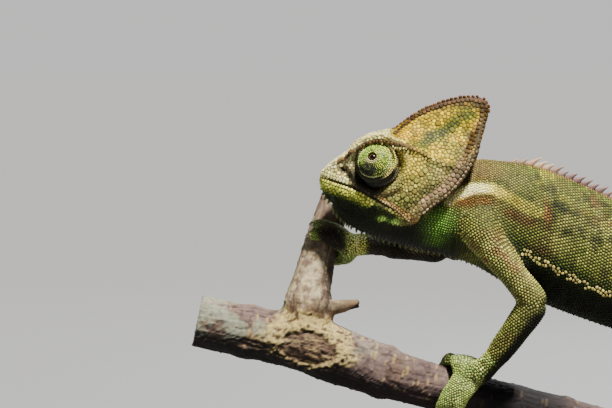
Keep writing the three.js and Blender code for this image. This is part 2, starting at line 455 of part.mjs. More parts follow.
// Neck, trunk and tail, cut into lengths at these stations
const NECK_END = 6, FRONT_END = 9.6, MID_END = 13.4;
const CUT = 0.028; // half of the gap between lengths, in stations
const bodyGrown = bodySolid(0, TRUNK_END, 40, 14, GAP);
const perch = perchSolid(), perchGrown = perchSolid(GAP);
const gular = (f) => 0.8 + 1.5 * Math.sin(Math.PI * clamp(0.25 + 0.75 * f, 0, 1)) ** 0.8 * (1 - 0.55 * f);
const jawCrest = crest((f) => {
  const u = lerp(1.2, 6.6, f), p = headAt(u, 0, chinV(u) + 0.25), a = headAt(u - 0.1, 0, chinV(u - 0.1)), b = headAt(u + 0.1, 0, chinV(u + 0.1));
  const d = b.sub(a).normalize();
  return [p, V(d.z, 0, -d.x)];
}, 5, (f) => 1 + 1.1 * f, 0.45);
const throatCrest = crest(bellyLine(0.55, 5.4), 10, (f) => lerp(2.1, 0.9, Math.sqrt(f)), 0.45);

const backHeight = (t) => CREST.height * smoothstep(t, 7.1, 9) * (1 - 0.45 * smoothstep(t, 13, 18));
function bodyLength(t0, t1, stations, back) {
  const s = bodySolid(t0 + (t0 ? CUT : 0), t1 - CUT, stations, 14);
  if (!back) return s;
  const [a, b, teeth] = back;
  return s.add(crest(backLine(a, b), teeth, (f) => Math.max(backHeight(lerp(a, b, f)), 0.35), CREST.half));
}

const limbSolids = {};
for (const [name, limb] of Object.entries(LIMBS)) {
  const make = (key, k, grow) => tube(limb[key], { steps: 6, sides: 8, grow, flat: limb.across[k], rounded: 0.17, blunt: 0.3 });
  limbSolids[name] = { upper: make('upper', 0, 0), lower: make('lower', 1, 0), upperGrown: make('upper', 0, GAP), lowerGrown: make('lower', 1, GAP) };
}

add('head', face, 'head');
add('casque', casque, 'casque');
add('lower_jaw', jaw.add(jawCrest).subtract(headCut((u) => jawLine(u), -2, 2.4, 3)), 'head');
for (const side of ['left', 'right']) {
  add(`eye_turret_${side}`, turretSolid(side), 'eye');
  add(`eyeball_${side}`, eyeballSolid(side), 'ball');
}
add('neck', bodyLength(0, NECK_END, 11).add(throatCrest).subtract(headGrown).subtract(jawCrest), 'belly');
add('trunk_front', bodyLength(NECK_END, FRONT_END, 8, [7.1, FRONT_END - 0.06, 7]), 'skin');
add('trunk_middle', bodyLength(FRONT_END, MID_END, 8, [FRONT_END + 0.06, MID_END - 0.06, 9]), 'skin');
add('trunk_rear', bodyLength(MID_END, TRUNK_END, 8, [MID_END + 0.06, TRUNK_END - 0.1, 8]), 'skin');
const TAIL_CUTS = [0.15, 40, 84, 122, TAIL.length];
['tail_base', 'tail_upper', 'tail_coil', 'tail_tip'].forEach((name, i) =>
  add(name, tailSolid(TAIL_CUTS[i] + GAP / 2, TAIL_CUTS[i + 1] - (i < 3 ? GAP / 2 : 0), [5, 12, 13, 14][i], 7), 'skin'));

const SEGMENTS = { arm_left: ['upper_arm_left', 'forearm_left'], arm_right: ['upper_arm_right', 'forearm_right'], leg_left: ['thigh_left', 'shank_left'], leg_right: ['thigh_right', 'shank_right'] };
const holding = Object.fromEntries(Object.values(FEET).map((f) => [f.limb, f]));
for (const [name, [up, low]] of Object.entries(SEGMENTS)) {
  const l = limbSolids[name], f = holding[name];
  add(up, l.upper.subtract(bodyGrown).subtract(headGrown), 'skin');
  let shin = l.lower.subtract(l.upperGrown).subtract(palmSolid(f, GAP));
  for (const b of Object.values(f.bundles)) shin = shin.subtract(bundleSolid(f, b, GAP));
  add(low, shin.subtract(perchGrown), 'skin');
}
for (const [name, f] of Object.entries(FEET)) {
  const { outer, inner } = f.bundles;
  add(name, palmSolid(f).subtract(bundleSolid(f, outer, GAP)).subtract(bundleSolid(f, inner, GAP)), 'hand');
  for (const [key, b] of Object.entries({ outer, inner })) {
    add(`${name}_toes_${key}`, bundleSolid(f, b), 'hand');
    for (let j = 0; j < b.toes; j++) add(`${name}_claw_${key}_${j + 1}`, clawSolid(f, b, j), 'claw');
  }
}
add('perch_branch', perch, 'bark');

// ------------------------------------------------------------------ display stand
const plate = new THREE.Shape();
{
  const w = (BASE.x1 - BASE.x0) / 2 - BASE.bevel, h = BASE.halfWidth - BASE.bevel, c = BASE.corner;
  plate.moveTo(-w + c, -h).lineTo(w - c, -h).absarc(w - c, -h + c, c, -Math.PI / 2, 0).lineTo(w, h - c)
    .absarc(w - c, h - c, c, 0, Math.PI / 2).lineTo(-w + c, h).absarc(-w + c, h - c, c, Math.PI / 2, Math.PI)
    .lineTo(-w, -h + c).absarc(-w + c, -h + c, c, Math.PI, Math.PI * 1.5);
}
const baseShape = new THREE.ExtrudeGeometry(plate, { depth: BASE.thick - 2 * BASE.bevel, bevelEnabled: true, bevelSize: BASE.bevel, bevelThickness: BASE.bevel, bevelSegments: 1, curveSegments: 2 });
baseShape.translate((BASE.x0 + BASE.x1) / 2, 0, BASE.top - BASE.thick + BASE.bevel);
add('stand_base', solidOf(baseShape), 'base');
for (const [name, x] of [['stand_rod_front', 62], ['stand_rod_rear', 114.5]]) {
  const b = branchAt(x), low = BASE.top + GAP, high = b.p.z + 2;
  const profile = [[0, low], [ROD_R + 2.4, low], [ROD_R + 1.8, low + 2.4], [ROD_R, low + 2.8], [ROD_R, high], [0, high]];
  const g = new THREE.LatheGeometry(profile.map(([r, z]) => new THREE.Vector2(r, z)), 12);
  g.rotateX(Math.PI / 2).translate(x, 0, 0);
  add(name, solidOf(g).subtract(perchGrown), 'rod');
}

// ------------------------------------------------------------------ origin
const box = new THREE.Box3().setFromObject(root);
const group = new THREE.Group();
root.position.set(-(box.min.x + box.max.x) / 2, -(box.min.y + box.max.y) / 2, -box.min.z);
group.add(root);
group.updateMatrixWorld(true);
export default group;
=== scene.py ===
import math
import time

import bpy
import numpy as np
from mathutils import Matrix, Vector
from mathutils.bvhtree import BVHTree
from mathutils.kdtree import KDTree


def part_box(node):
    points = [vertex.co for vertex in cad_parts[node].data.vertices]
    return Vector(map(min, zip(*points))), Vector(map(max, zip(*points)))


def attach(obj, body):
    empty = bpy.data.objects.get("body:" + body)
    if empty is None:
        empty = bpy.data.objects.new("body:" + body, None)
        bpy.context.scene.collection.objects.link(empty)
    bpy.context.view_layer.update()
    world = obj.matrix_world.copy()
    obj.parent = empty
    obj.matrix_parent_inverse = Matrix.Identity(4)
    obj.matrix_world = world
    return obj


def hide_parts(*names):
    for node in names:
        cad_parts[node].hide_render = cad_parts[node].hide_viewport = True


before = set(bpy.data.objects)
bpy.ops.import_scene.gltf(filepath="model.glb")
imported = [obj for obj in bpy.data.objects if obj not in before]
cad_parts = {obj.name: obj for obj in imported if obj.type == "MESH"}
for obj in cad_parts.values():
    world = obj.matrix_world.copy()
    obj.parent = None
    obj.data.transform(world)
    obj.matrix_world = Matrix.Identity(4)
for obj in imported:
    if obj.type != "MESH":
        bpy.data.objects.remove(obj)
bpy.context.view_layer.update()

STARTED = time.time()
RNG = np.random.default_rng(11)


def note(text):
    print(f"[{time.time() - STARTED:6.1f} s] {text}", flush=True)


# All tables are in millimetres in the animal's own axes: X towards the tail, Y towards its right side, Z up.
# The stand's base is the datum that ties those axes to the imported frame.
SHIFT = np.array(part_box("stand_base")[0]) * 1000.0 - np.array([-4.0, -47.0, -60.0])
FLOOR = -60.0
COAT = 0.3  # how far the skin lies inside the outline that the scales reach


def to_frame(points):
    return (np.asarray(points, float) + SHIFT) / 1000.0


# ------------------------------------------------------------------ small maths
def ss(x, a, b):
    t = np.clip((np.asarray(x, float) - a) / (b - a), 0.0, 1.0)
    return t * t * (3 - 2 * t)


def lerp(a, b, t):
    return a + (b - a) * t


def unit(v):
    v = np.asarray(v, float)
    return v / np.maximum(np.linalg.norm(v, axis=-1, keepdims=True), 1e-12)


def spline(rows):
    rows = np.array(rows, float)
    n = len(rows)
    ext = np.vstack([2 * rows[0] - rows[1], rows, 2 * rows[-1] - rows[-2]])

    def at(t):
        t = np.atleast_1d(np.asarray(t, float))
        i = np.clip(np.floor(t).astype(int), 0, n - 2)
        f = (t - i)[:, None]
        p, q, r, s = ext[i], ext[i + 1], ext[i + 2], ext[i + 3]
        return 0.5 * (2 * q + (r - p) * f + (2 * p - 5 * q + 4 * r - s) * f**2 + (3 * q - p - 3 * r + s) * f**3)

    return at


def curve(pairs):
    x, y = np.array(pairs, float).T
    n = len(x)
    d = np.diff(y) / np.diff(x)
    m = np.empty(n)
    m[0], m[-1] = d[0], d[-1]
    for i in range(1, n - 1):
        m[i] = 0.0 if d[i - 1] * d[i] <= 0 else 2 * d[i - 1] * d[i] / (d[i - 1] + d[i])

    def at(t):
        t = np.clip(np.asarray(t, float), x[0], x[-1])
        i = np.clip(np.searchsorted(x, t) - 1, 0, n - 2)
        h = x[i + 1] - x[i]
        s = (t - x[i]) / h
        return y[i] * (1 + 2 * s) * (1 - s) ** 2 + h * m[i] * s * (1 - s) ** 2 + y[i + 1] * s * s * (3 - 2 * s) + h * m[i + 1] * s * s * (s - 1)

    return at


TABLE = np.random.default_rng(5).random(65536)


def noise(P, size, seed=0):
    """Smooth value noise from 0 to 1, with cells of the given size."""
    Q = np.asarray(P, float) / size + seed * 17.31
    i = np.floor(Q).astype(np.int64)
    f = Q - i
    f = f * f * (3 - 2 * f)
    out = 0.0
    for dx in (0, 1):
        for dy in (0, 1):
            for dz in (0, 1):
                k = ((i[:, 0] + dx) * 73856093) ^ ((i[:, 1] + dy) * 19349663) ^ ((i[:, 2] + dz) * 83492791)
                w = (f[:, 0] if dx else 1 - f[:, 0]) * (f[:, 1] if dy else 1 - f[:, 1]) * (f[:, 2] if dz else 1 - f[:, 2])
                out = out + w * TABLE[k & 65535]
    return out


def cloud(P, size, seed=0, octaves=3):
    out, amp, total = 0.0, 1.0, 0.0
    for o in range(octaves):
        out = out + amp * noise(P, size / 2**o, seed + 3 * o)
        total += amp
        amp *= 0.55
    return out / total


def srgb(r, g, b):
    c = np.array([r, g, b], float) / 255.0
    return np.where(c <= 0.04045, c / 12.92, ((c + 0.055) / 1.055) ** 2.4)


# ------------------------------------------------------------------ the animal's shape
SNOUT, PITCH = (5.1, 61.0), math.radians(20)
CP, SP = math.cos(PITCH), math.sin(PITCH)
HEAD_LENGTH = 36.3
EYE = dict(u=13.2, v=8.4, y=6.3, r=5.5)
LOOK = {"left": unit([-0.36, -0.8, 0.48]), "right": unit([-0.42, 0.9, 0.05])}


def head_at(u, y, v):
    u, y, v = np.broadcast_arrays(np.asarray(u, float), y, v)
    return np.stack([SNOUT[0] + u * CP + v * SP, y, SNOUT[1] - u * SP + v * CP], -1)


def head_uv(P):
    dx, dz = P[..., 0] - SNOUT[0], P[..., 2] - SNOUT[1]
    return dx * CP - dz * SP, dx * SP + dz * CP


crownV = curve([[0, 0.7], [0.7, 3], [3.1, 6.8], [6.1, 10.9], [8.9, 15], [12, 17.5], [14.3, 18.7], [15.7, 21], [18.7, 25.3], [22.9, 29.3], [27.4, 32.4], [30.7, 33.9], [33.2, 34.2], [35.1, 33.1], [36.3, 29.5]])
chinV = curve([[0, -0.4], [0.8, -1.9], [2, -3.5], [3.5, -5], [6, -6.4], [10, -7.1], [15, -7.1], [20, -6.4], [24, -5], [26.6, -3], [28, -0.8], [29.4, 2.4], [31.9, 6], [33.7, 9.1], [35.2, 13.6], [36.3, 20]])
ridgeV = curve([[0, 0.5], [0.8, 2.3], [2, 4.4], [4.7, 7.7], [6.7, 10.8], [8.6, 13.2], [11.4, 15.1], [14.5, 16.1], [17.9, 15.9], [21.5, 15.3], [25.2, 14.7], [28.5, 14.5], [33.2, 15.2], [36.3, 21]])
ridgeW = curve([[0, 0.9], [0.8, 2], [2, 2.9], [5, 4.7], [8.6, 7.1], [12, 8.5], [16, 9.1], [21, 9.4], [26, 9.7], [31, 9.9], [36.3, 9.4]])
mouthV = curve([[0, 0.1], [5.7, 0.3], [10.8, 0.1], [13.8, -0.4], [17, -0.6], [20, -1.1], [23.3, -1.9], [26.2, -2.5], [28, -0.4], [29.4, 2.8], [31.9, 6.5], [33.7, 9.6], [35.2, 14.1], [36.3, 20.4]])
mouthW = curve([[0, 0.8], [0.8, 2], [2, 3.1], [4, 4.6], [8, 6.7], [12, 8.1], [16, 9.1], [20, 10], [24, 10.6], [28, 10.7], [32, 10.3], [36.3, 9.6]])


slitV = curve([[0, 0.2], [2.7, 0.35], [5.4, 0.5], [8.1, 0.65], [10.4, 0.7], [12.2, 0.5], [14.3, 0.1], [16.7, -0.35], [19.6, -0.9], [22.2, -1.5], [27, -4]])
BEADS = curve([[0, 0.4], [5, -0.3], [8, -0.4], [10.5, -0.35], [13.5, -1.0], [16.5, -0.75], [19, -0.2], [22, 0.1], [36, 0.1]])  # the bead row against the ridge
OUTLINE = np.array([[28.4, 0.2], [29.4, 2.4], [31.9, 6], [33.7, 9.1], [35.2, 13.6], [36.1, 19], [36.3, 24], [36.2, 29.5], [35.1, 33.1]])  # rear edge of the head


def head_half(u, v):
    vt, vb, vr, vm, wr, wm = crownV(u), chinV(u), ridgeV(u), mouthV(u), ridgeW(u), mouthW(u)
    f = np.clip((v - vr) / (vt - vr), 0, 1)
    dome = wr * np.sqrt(1 - f * f)
    helmet = (wr - 1) * (1 - f) ** 1.45 + np.sqrt(1 - f**10)
    top = lerp(dome, helmet, ss(u, 10.5, 16))
    g = np.clip((v - vm) / (vr - vm), 0, 1)
    cheek = 0.9 * ss(u, 17, 22) * (1 - ss(u, 29, 35)) - 0.9 * ss(u, 2.5, 6) * (1 - ss(u, 9, 13))
    side = lerp(wm, wr, g) + cheek * 4 * g * (1 - g)
    h = np.clip((vm - v) / (vm - vb), 0, 1)
    jaw = wm * (1 - h**2.2) ** 0.6
    return np.where(v >= vr, top, np.where(v >= vm, side, jaw))


def head_grid(stations=110, half=48, grow=0.0):
    us = 0.1 + (HEAD_LENGTH - 0.1) * (0.5 - 0.5 * np.cos(np.linspace(0, math.pi, stations))) * 0.6 + (HEAD_LENGTH - 0.1) * np.linspace(0, 1, stations) * 0.4
    q = np.concatenate([np.linspace(0, 1, half // 3, endpoint=False) ** 1.0, 1 + np.linspace(0, 1, half // 3, endpoint=False), 2 + np.linspace(0, 1, half // 3 + 1) ** 0.8])
    q = np.where(q < 1, q**1.6, q)
    U, Q = np.meshgrid(us, q, indexing="ij")
    level = np.where(Q <= 1, lerp(chinV(U), mouthV(U), Q), np.where(Q <= 2, lerp(mouthV(U), ridgeV(U), Q - 1), lerp(ridgeV(U), crownV(U), Q - 2)))
    W = head_half(U, level) + grow
    W[:, 0] = W[:, -1] = 0
    L = level.copy()
    L[:, 0] -= grow
    L[:, -1] += grow
    Us = U.copy()
    Us[0] -= grow
    Us[-1] += grow
    left = head_at(Us, -W, L)
    right = head_at(Us, W, L)[:, -2:0:-1]
    P = np.concatenate([left, right], 1)
    return P, head_at(Us[0, 0], 0, (crownV(us[0]) + chinV(us[0])) / 2), head_at(Us[-1, 0], 0, (crownV(us[-1]) + chinV(us[-1])) / 2)


TRUNK = [
    [9.4, 55.2, 8.3, 52.6, 1.6], [12.2, 55.4, 10.6, 49.9, 3.6], [16.4, 55.6, 14, 47.2, 5.2], [23.7, 56.8, 19.6, 44.8, 6.6],
    [32, 60, 27, 42.6, 7.8], [40, 64.6, 34.2, 41, 8.4], [46.4, 65.8, 41, 39.2, 8.8], [52.6, 65.3, 47.4, 36.6, 9.3],
    [58.4, 64.7, 53.6, 32.8, 9.7], [64.5, 63, 60, 29.2, 10], [71.1, 60.4, 66.4, 26.3, 10.2], [78.2, 57.2, 73.4, 23.7, 10.2],
    [86.8, 53, 82.1, 20.7, 10], [97.4, 48, 92.6, 17.7, 9.4], [107.9, 42.4, 103, 15, 8.6], [117.9, 36.6, 113.4, 13, 7.6],
    [126.8, 31, 123.4, 12.3, 6.4], [134.6, 25.9, 130.6, 12.7, 5], [141.2, 21.4, 136.4, 13.7, 4.1],
]
trunk_at = spline(TRUNK)
TRUNK_END = len(TRUNK) - 1
TAIL = dict(length=158.0, straight=42.0, heading=math.radians(-32), outer=19.5, inner=6.4)
tail_radius = curve([[0, 4.3], [20, 3.8], [42, 3.25], [80, 2.45], [115, 1.7], [145, 1.05], [155, 0.8], [158, 0.35]])


def _tail_points():
    step, h, x, z = 0.5, TAIL["heading"], 138.8, 17.55
    out = [[x, 0.0, z]]
    for i in range(1, int(TAIL["length"] / step) + 1):
        s = i * step
        t = min(max((s - TAIL["straight"]) / (TAIL["length"] - TAIL["straight"]), 0), 1)
        if s < TAIL["straight"]:
            h -= float(ss(s, 14, TAIL["straight"])) / 40 * 0.6 * step
        else:
            h -= 1 / lerp(TAIL["outer"], TAIL["inner"], t) * step * float(ss(s, TAIL["straight"] - 14, TAIL["straight"] + 6))
        x += math.cos(h) * step
        z += math.sin(h) * step
        out.append([x, -6 * float(ss(s, 24, TAIL["length"])), z])
    return np.array(out)


TAIL_POINTS = _tail_points()


def tail_path(s):
    s = np.clip(np.atleast_1d(np.asarray(s, float)) / 0.5, 0, len(TAIL_POINTS) - 1.001)
    k = s.astype(int)
    f = (s - k)[:, None]
    return TAIL_POINTS[k] * (1 - f) + TAIL_POINTS[k + 1] * f


def body_rings(t, sides, grow=0.0, widest=0.58):
    r = trunk_at(t)
    zero = np.zeros(len(r))
    D = np.stack([r[:, 0], zero, r[:, 1]], -1)
    B = np.stack([r[:, 2], zero, r[:, 3]], -1)
    C = lerp(D, B, widest)
    a = 2 * math.pi * np.arange(sides) / sides
    c, s = np.cos(a), np.sin(a)
    up, down = D - C, B - C
    arm = np.where((c >= 0)[None, :, None], up[:, None], down[:, None])
    reach = np.linalg.norm(arm, axis=-1)
    y = (r[:, 4:5] + grow) * np.sign(s) * np.abs(s) ** np.where(c >= 0, 1.22, 1.12)
    P = C[:, None] + arm * (np.abs(c)[None] * (reach + grow) / reach)[..., None]
    P[..., 1] -= y
    return P, (D + B) / 2


def tail_rings(s, sides, grow=0.0):
    s = np.asarray(s, float)
    c = tail_path(s)
    d = unit(tail_path(np.minimum(s + 0.6, TAIL["length"])) - tail_path(np.maximum(s - 0.6, 0)))
    side = unit(np.array([0, 1, 0]) - d * d[:, 1:2])
    up = -np.cross(d, side)
    a = 2 * math.pi * np.arange(sides) / sides
    r = tail_radius(s) + grow
    P = c[:, None] + up[:, None] * (r[:, None] * 1.06 * np.cos(a))[..., None] - side[:, None] * (r[:, None] * 0.94 * np.sin(a))[..., None]
    return P, c


def tube_rings(points, steps, sides, grow=0.0, flat=(0, 1, 0), ends=(1, 1), rounded=0.16, blunt=0.11):
    points = np.array(points, float)
    at, n = spline(points), len(points) - 1
    k = np.arange(steps) / (steps - 1)
    s = lerp(k, 0.5 - 0.5 * np.cos(math.pi * k), 0.55)
    a, b, c = at(s * n), at(np.clip(s * n + 0.02, 0, n)), at(np.clip(s * n - 0.02, 0, n))
    d = unit(b[:, :3] - c[:, :3])
    flat = np.array(flat, float)
    e1 = unit(flat - d * (d @ flat)[:, None])
    e2 = np.cross(d, e1)

    def ends_in(x, on):
        return np.where((x < 1) & bool(on), np.sqrt(np.maximum(1 - (1 - x) ** 2, blunt**2)), 1.0)

    f = ends_in(s / rounded, ends[0]) * ends_in((1 - s) / rounded, ends[1])
    r2 = a[:, 3] * f + grow
    r1 = (a[:, 4] if points.shape[1] > 4 else a[:, 3]) * f + grow
    w = 2 * math.pi * np.arange(sides) / sides
    P = a[:, None, :3] + e1[:, None] * (r1[:, None] * np.cos(w))[..., None] + e2[:, None] * (r2[:, None] * np.sin(w))[..., None]
    return P, a[:, :3]


Y_, X_, Z_ = (0, 1, 0), (1, 0, 0), (0, 0, 1)
LIMBS = {
    "arm_left": dict(across=[Y_, Y_],
        upper=[[43.8, -5.2, 53.9, 7.7, 4.2], [47.2, -7.8, 47.3, 5.4, 4.9], [50, -9.4, 42.6, 4.3, 4.5], [54.3, -11, 37.2, 3.75, 4.1], [59.3, -12.2, 30.9, 3.8, 3.9], [61.3, -12.6, 27.4, 3.6, 3.8]],
        lower=[[60.9, -12.4, 30.6, 3.6, 3.7], [59.2, -12.1, 27.4, 4, 3.75], [56.1, -11.6, 22.7, 3.75, 3.5], [50.6, -9.6, 14.6, 3.35, 3.2], [46.2, -7.2, 9.8, 3.5, 3.2]]),
    "arm_right": dict(across=[X_, Z_],
        upper=[[47, 5.2, 51.6, 4.6, 7.2], [47, 12.4, 46.6, 4.8, 5.2], [45.8, 18, 43.2, 4.2, 4.3], [44.2, 24, 40.4, 4, 4.1], [42.2, 30.8, 37.8, 4, 4.1]],
        lower=[[41.6, 30.8, 37.8, 4, 3.9], [32.6, 25, 39, 3.5, 3.5], [24, 18.6, 40.2, 3.15, 3.2], [17.6, 12.8, 41.6, 3.3, 3.2]]),
    "leg_left": dict(across=[Y_, Y_],
        upper=[[125.6, -2.8, 25.2, 6.4, 3.8], [121.6, -8, 24.6, 6, 4.9], [115, -12.6, 23.2, 5.2, 4.8], [108.4, -15.8, 21.6, 4.6, 4.4], [101.8, -18.4, 19.6, 4.2, 4]],
        lower=[[101.4, -18.6, 18.8, 4.1, 3.9], [102.4, -15.6, 11.2, 3.9, 3.7], [103.4, -11.6, 3.4, 3.3, 3.2], [103.8, -7.4, -2.8, 3.4, 3.2]]),
    "leg_right": dict(across=[Y_, Y_],
        upper=[[126, 2.8, 25, 6.2, 3.8], [123.6, 8, 22.4, 6, 4.9], [119.4, 12.8, 17.6, 5.2, 4.8], [114.8, 16.4, 12.8, 4.6, 4.4], [110.4, 19.4, 8, 4.2, 4]],
        lower=[[110.2, 19.6, 7.2, 4.1, 3.9], [115, 16.6, 2, 3.9, 3.7], [121, 12, -4.4, 3.3, 3.2], [125.2, 7.6, -8.8, 3.4, 3.2]]),
}
BRANCH = spline([[-27, 0, 22.7, 6.6], [-12, 0, 19.4, 6.7], [2.5, 0, 16.2, 7.7], [14, 0, 11.8, 7.2], [31.6, 0, 6.1, 6.05], [60, 0, -1.3, 5.85], [84, 0, -7.5, 5.75], [108, 0, -13.9, 5.7], [134, 0, -20.6, 5.6]])
FORK_ROWS = [[1, 0, 17, 7], [2, 1.6, 25.6, 6.5], [3.4, 4.6, 33.3, 5.2], [5.5, 8.8, 41.4, 4.6], [8.2, 13.4, 49.2, 4.4], [10.2, 16.6, 54.8, 4.2]]
STUB_ROWS = [[3, 0.2, 24.4, 2.8], [8, -0.2, 26, 1.9], [15.6, -1, 27.4, 1.15]]
_bt = np.linspace(0, 8, 1601)
_bx = BRANCH(_bt)


def branch_at(x):
    t = np.interp(np.atleast_1d(np.asarray(x, float)), _bx[:, 0], _bt)
    p, a, b = BRANCH(t), BRANCH(np.minimum(t + 0.02, 8)), BRANCH(np.maximum(t - 0.02, 0))
    d = a[:, :3] - b[:, :3]
    d[:, 1] = 0
    return p[:, :3], unit(d), p[:, 3]


def on_branch(x, up):
    p, d, r = branch_at(x)
    return dict(p=p[0], along=d[0], r=float(r[0]), up=np.array(up, float))


def on_fork(t, up):
    f = spline(FORK_ROWS)
    p, a, b = f(t)[0], f(t + 0.02)[0], f(t - 0.02)[0]
    return dict(p=p[:3], along=unit(a[:3] - b[:3]), r=float(p[3]), up=np.array(up, float))


FEET = {
    "hand_left": dict(limb="arm_left", at=on_branch(43.6, (0.14, -0.46, 1)), palm=0.8, bundles=dict(
        outer=dict(side=-1, toes=2, lo=0.55, hi=1.85, r=2.2, shift=1.4, skew=-5.4),
        inner=dict(side=1, toes=3, lo=0.35, hi=1.75, r=1.75, shift=-3.2, skew=-0.4))),
    "hand_right": dict(limb="arm_right", at=on_fork(3.12, (0.95, 0.12, 0.2)), palm=0, bundles=dict(
        outer=dict(side=1, toes=2, lo=0.6, hi=2.1, r=1.95, shift=0, skew=0.6),
        inner=dict(side=-1, toes=3, lo=0.6, hi=2.1, r=1.6, shift=0, skew=0.8))),
    "foot_left": dict(limb="leg_left", at=on_branch(102.8, (0.1, -0.4, 1)), palm=0.4, bundles=dict(
        outer=dict(side=-1, toes=3, lo=0.5, hi=1.95, r=1.75, shift=0.4, skew=-1.6),
        inner=dict(side=1, toes=2, lo=0.5, hi=1.95, r=2.05, shift=-0.2, skew=0.6))),
    "foot_right": dict(limb="leg_right", at=on_branch(125.2, (0.1, 0.4, 1)), palm=0.4, bundles=dict(
        outer=dict(side=1, toes=3, lo=0.5, hi=1.95, r=1.75, shift=0.2, skew=1),
        inner=dict(side=-1, toes=2, lo=0.5, hi=1.95, r=2.05, shift=0, skew=0.4))),
}
GAP, TOE_PITCH = 0.3, 1.45


def foot_frame(f):
    T = f["at"]["along"]
    N = unit(f["at"]["up"] - T * (f["at"]["up"] @ T))
    return T, N, np.cross(N, T), f["at"]["p"], f["at"]["r"]


def toe_path(f, b, j):
    T, N, Y, p, r = foot_frame(f)
    a0 = (j - (b["toes"] - 1) / 2) * b["r"] * TOE_PITCH

    def at(w):
        w = np.atleast_1d(np.asarray(w, float))
        phi = lerp(b["lo"], b["hi"], w)
        fat = b["r"] * lerp(1.12, 0.8, np.clip(w, 0, 1))
        spread = 1 + 0.22 * np.clip(w, 0, 1.3)
        lift = r + GAP + 0.15 + np.where(w <= 1, fat, lerp(fat, 0.3, np.clip((w - 1) / 0.24, 0, 1)))
        c = p + T * (a0 * spread + b["shift"] + b["skew"] * np.sin(np.clip(phi, 0, 1.57)))[:, None] + N * (lift * np.cos(phi))[:, None] + Y * (b["side"] * lift * np.sin(phi))[:, None]
        return c, fat

    return at


# ------------------------------------------------------------------ mesh helpers
def grid_mesh(P, cap_a, cap_b):
    K, S, _ = P.shape
    V = np.vstack([P.reshape(-1, 3), np.reshape(cap_a, (1, 3)), np.reshape(cap_b, (1, 3))])
    k, j = np.meshgrid(np.arange(K - 1), np.arange(S), indexing="ij")
    a, b = (k * S + j).ravel(), (k * S + (j + 1) % S).ravel()
    c, d = b + S, a + S
    F = np.vstack([np.stack([a, b, c], 1), np.stack([a, c, d], 1)])
    j = np.arange(S)
    n = K * S
    first = np.stack([(j + 1) % S, j, np.full(S, n)], 1)
    last = np.stack([(K - 1) * S + j, (K - 1) * S + (j + 1) % S, np.full(S, n + 1)], 1)
    return V, np.vstack([F, first, last])


def join(parts):
    Vs, Fs, n = [], [], 0
    for V, F in parts:
        Vs.append(V)
        Fs.append(F + n)
        n += len(V)
    return np.vstack(Vs), np.vstack(Fs)


def bare_mesh(name, V, F):
    me = bpy.data.meshes.new(name)
    me.vertices.add(len(V))
    me.vertices.foreach_set("co", np.ascontiguousarray(V, np.float32).ravel())
    me.loops.add(3 * len(F))
    me.loops.foreach_set("vertex_index", np.ascontiguousarray(F, np.int32).ravel())
    me.polygons.add(len(F))
    me.polygons.foreach_set("loop_start", np.arange(0, 3 * len(F), 3, dtype=np.int32))
    me.update(calc_edges=True)
    return me


def read_mesh(me):
    V = np.empty(3 * len(me.vertices), np.float32)
    me.vertices.foreach_get("co", V)
    me.calc_loop_triangles()
    F = np.empty(3 * len(me.loop_triangles), np.int32)
    me.loop_triangles.foreach_get("vertices", F)
    return V.reshape(-1, 3).astype(float), F.reshape(-1, 3)


def remesh(name, V, F, voxel):
    """One closed surface round everything in V, F. Works in millimetres."""
    me = bare_mesh(name, V, F)
    ob = bpy.data.objects.new(name, me)
    bpy.context.scene.collection.objects.link(ob)
    mod = ob.modifiers.new("one", "REMESH")
    mod.mode = "VOXEL"
    mod.voxel_size = voxel
    mod.use_smooth_shade = True
    dg = bpy.context.evaluated_depsgraph_get()
    done = ob.evaluated_get(dg)
    out = done.to_mesh()
    V2, F2 = read_mesh(out)
    done.to_mesh_clear()
    bpy.data.objects.remove(ob)
    bpy.data.meshes.remove(me)
    return V2, F2


def neighbours_mean(V, F):
    src, dst = F[:, [0, 1, 2]].ravel(), F[:, [1, 2, 0]].ravel()
    n = len(V)
    count = np.maximum(np.bincount(src, minlength=n), 1)
    return np.stack([np.bincount(src, weights=V[dst, a], minlength=n) / count for a in range(3)], 1)


def smooth(V, F, rounds, amount=0.5, back=0.0, weight=None):
    w = 1.0 if weight is None else weight[:, None]
    for _ in range(rounds):
        V = V + amount * w * (neighbours_mean(V, F) - V)
        if back:
            V = V - back * w * (neighbours_mean(V, F) - V)
    return V


def spread(value, F, n, rounds):
    """Blurs a number held at each vertex."""
    src, dst = F[:, [0, 1, 2]].ravel(), F[:, [1, 2, 0]].ravel()
    count = np.maximum(np.bincount(src, minlength=n), 1)
    for _ in range(rounds):
        value = 0.5 * value + 0.5 * np.bincount(src, weights=value[dst], minlength=n) / count
    return value


def vertex_normals(V, F):
    fn = np.cross(V[F[:, 1]] - V[F[:, 0]], V[F[:, 2]] - V[F[:, 0]])
    N = np.zeros_like(V)
    for k in range(3):
        for a in range(3):
            N[:, a] += np.bincount(F[:, k], weights=fn[:, a], minlength=len(V))
    return unit(N)


def biggest_shell(V, F):
    """Keeps the largest piece, which is the outer shell, so that no hollow is left inside."""
    n = len(V)
    label = np.arange(n)
    while True:
        low = np.minimum.reduce([label[F[:, 0]], label[F[:, 1]], label[F[:, 2]]])
        new = label.copy()
        for k in range(3):
            np.minimum.at(new, F[:, k], low)
        new = new[new]
        if np.array_equal(new, label):
            break
        label = new
    roots, counts = np.unique(label, return_counts=True)
    keep = label == roots[counts.argmax()]
    note(f"shells: {sorted(counts.tolist())[::-1][:6]}")
    index = np.cumsum(keep) - 1
    return V[keep], index[F[keep[F[:, 0]]]]


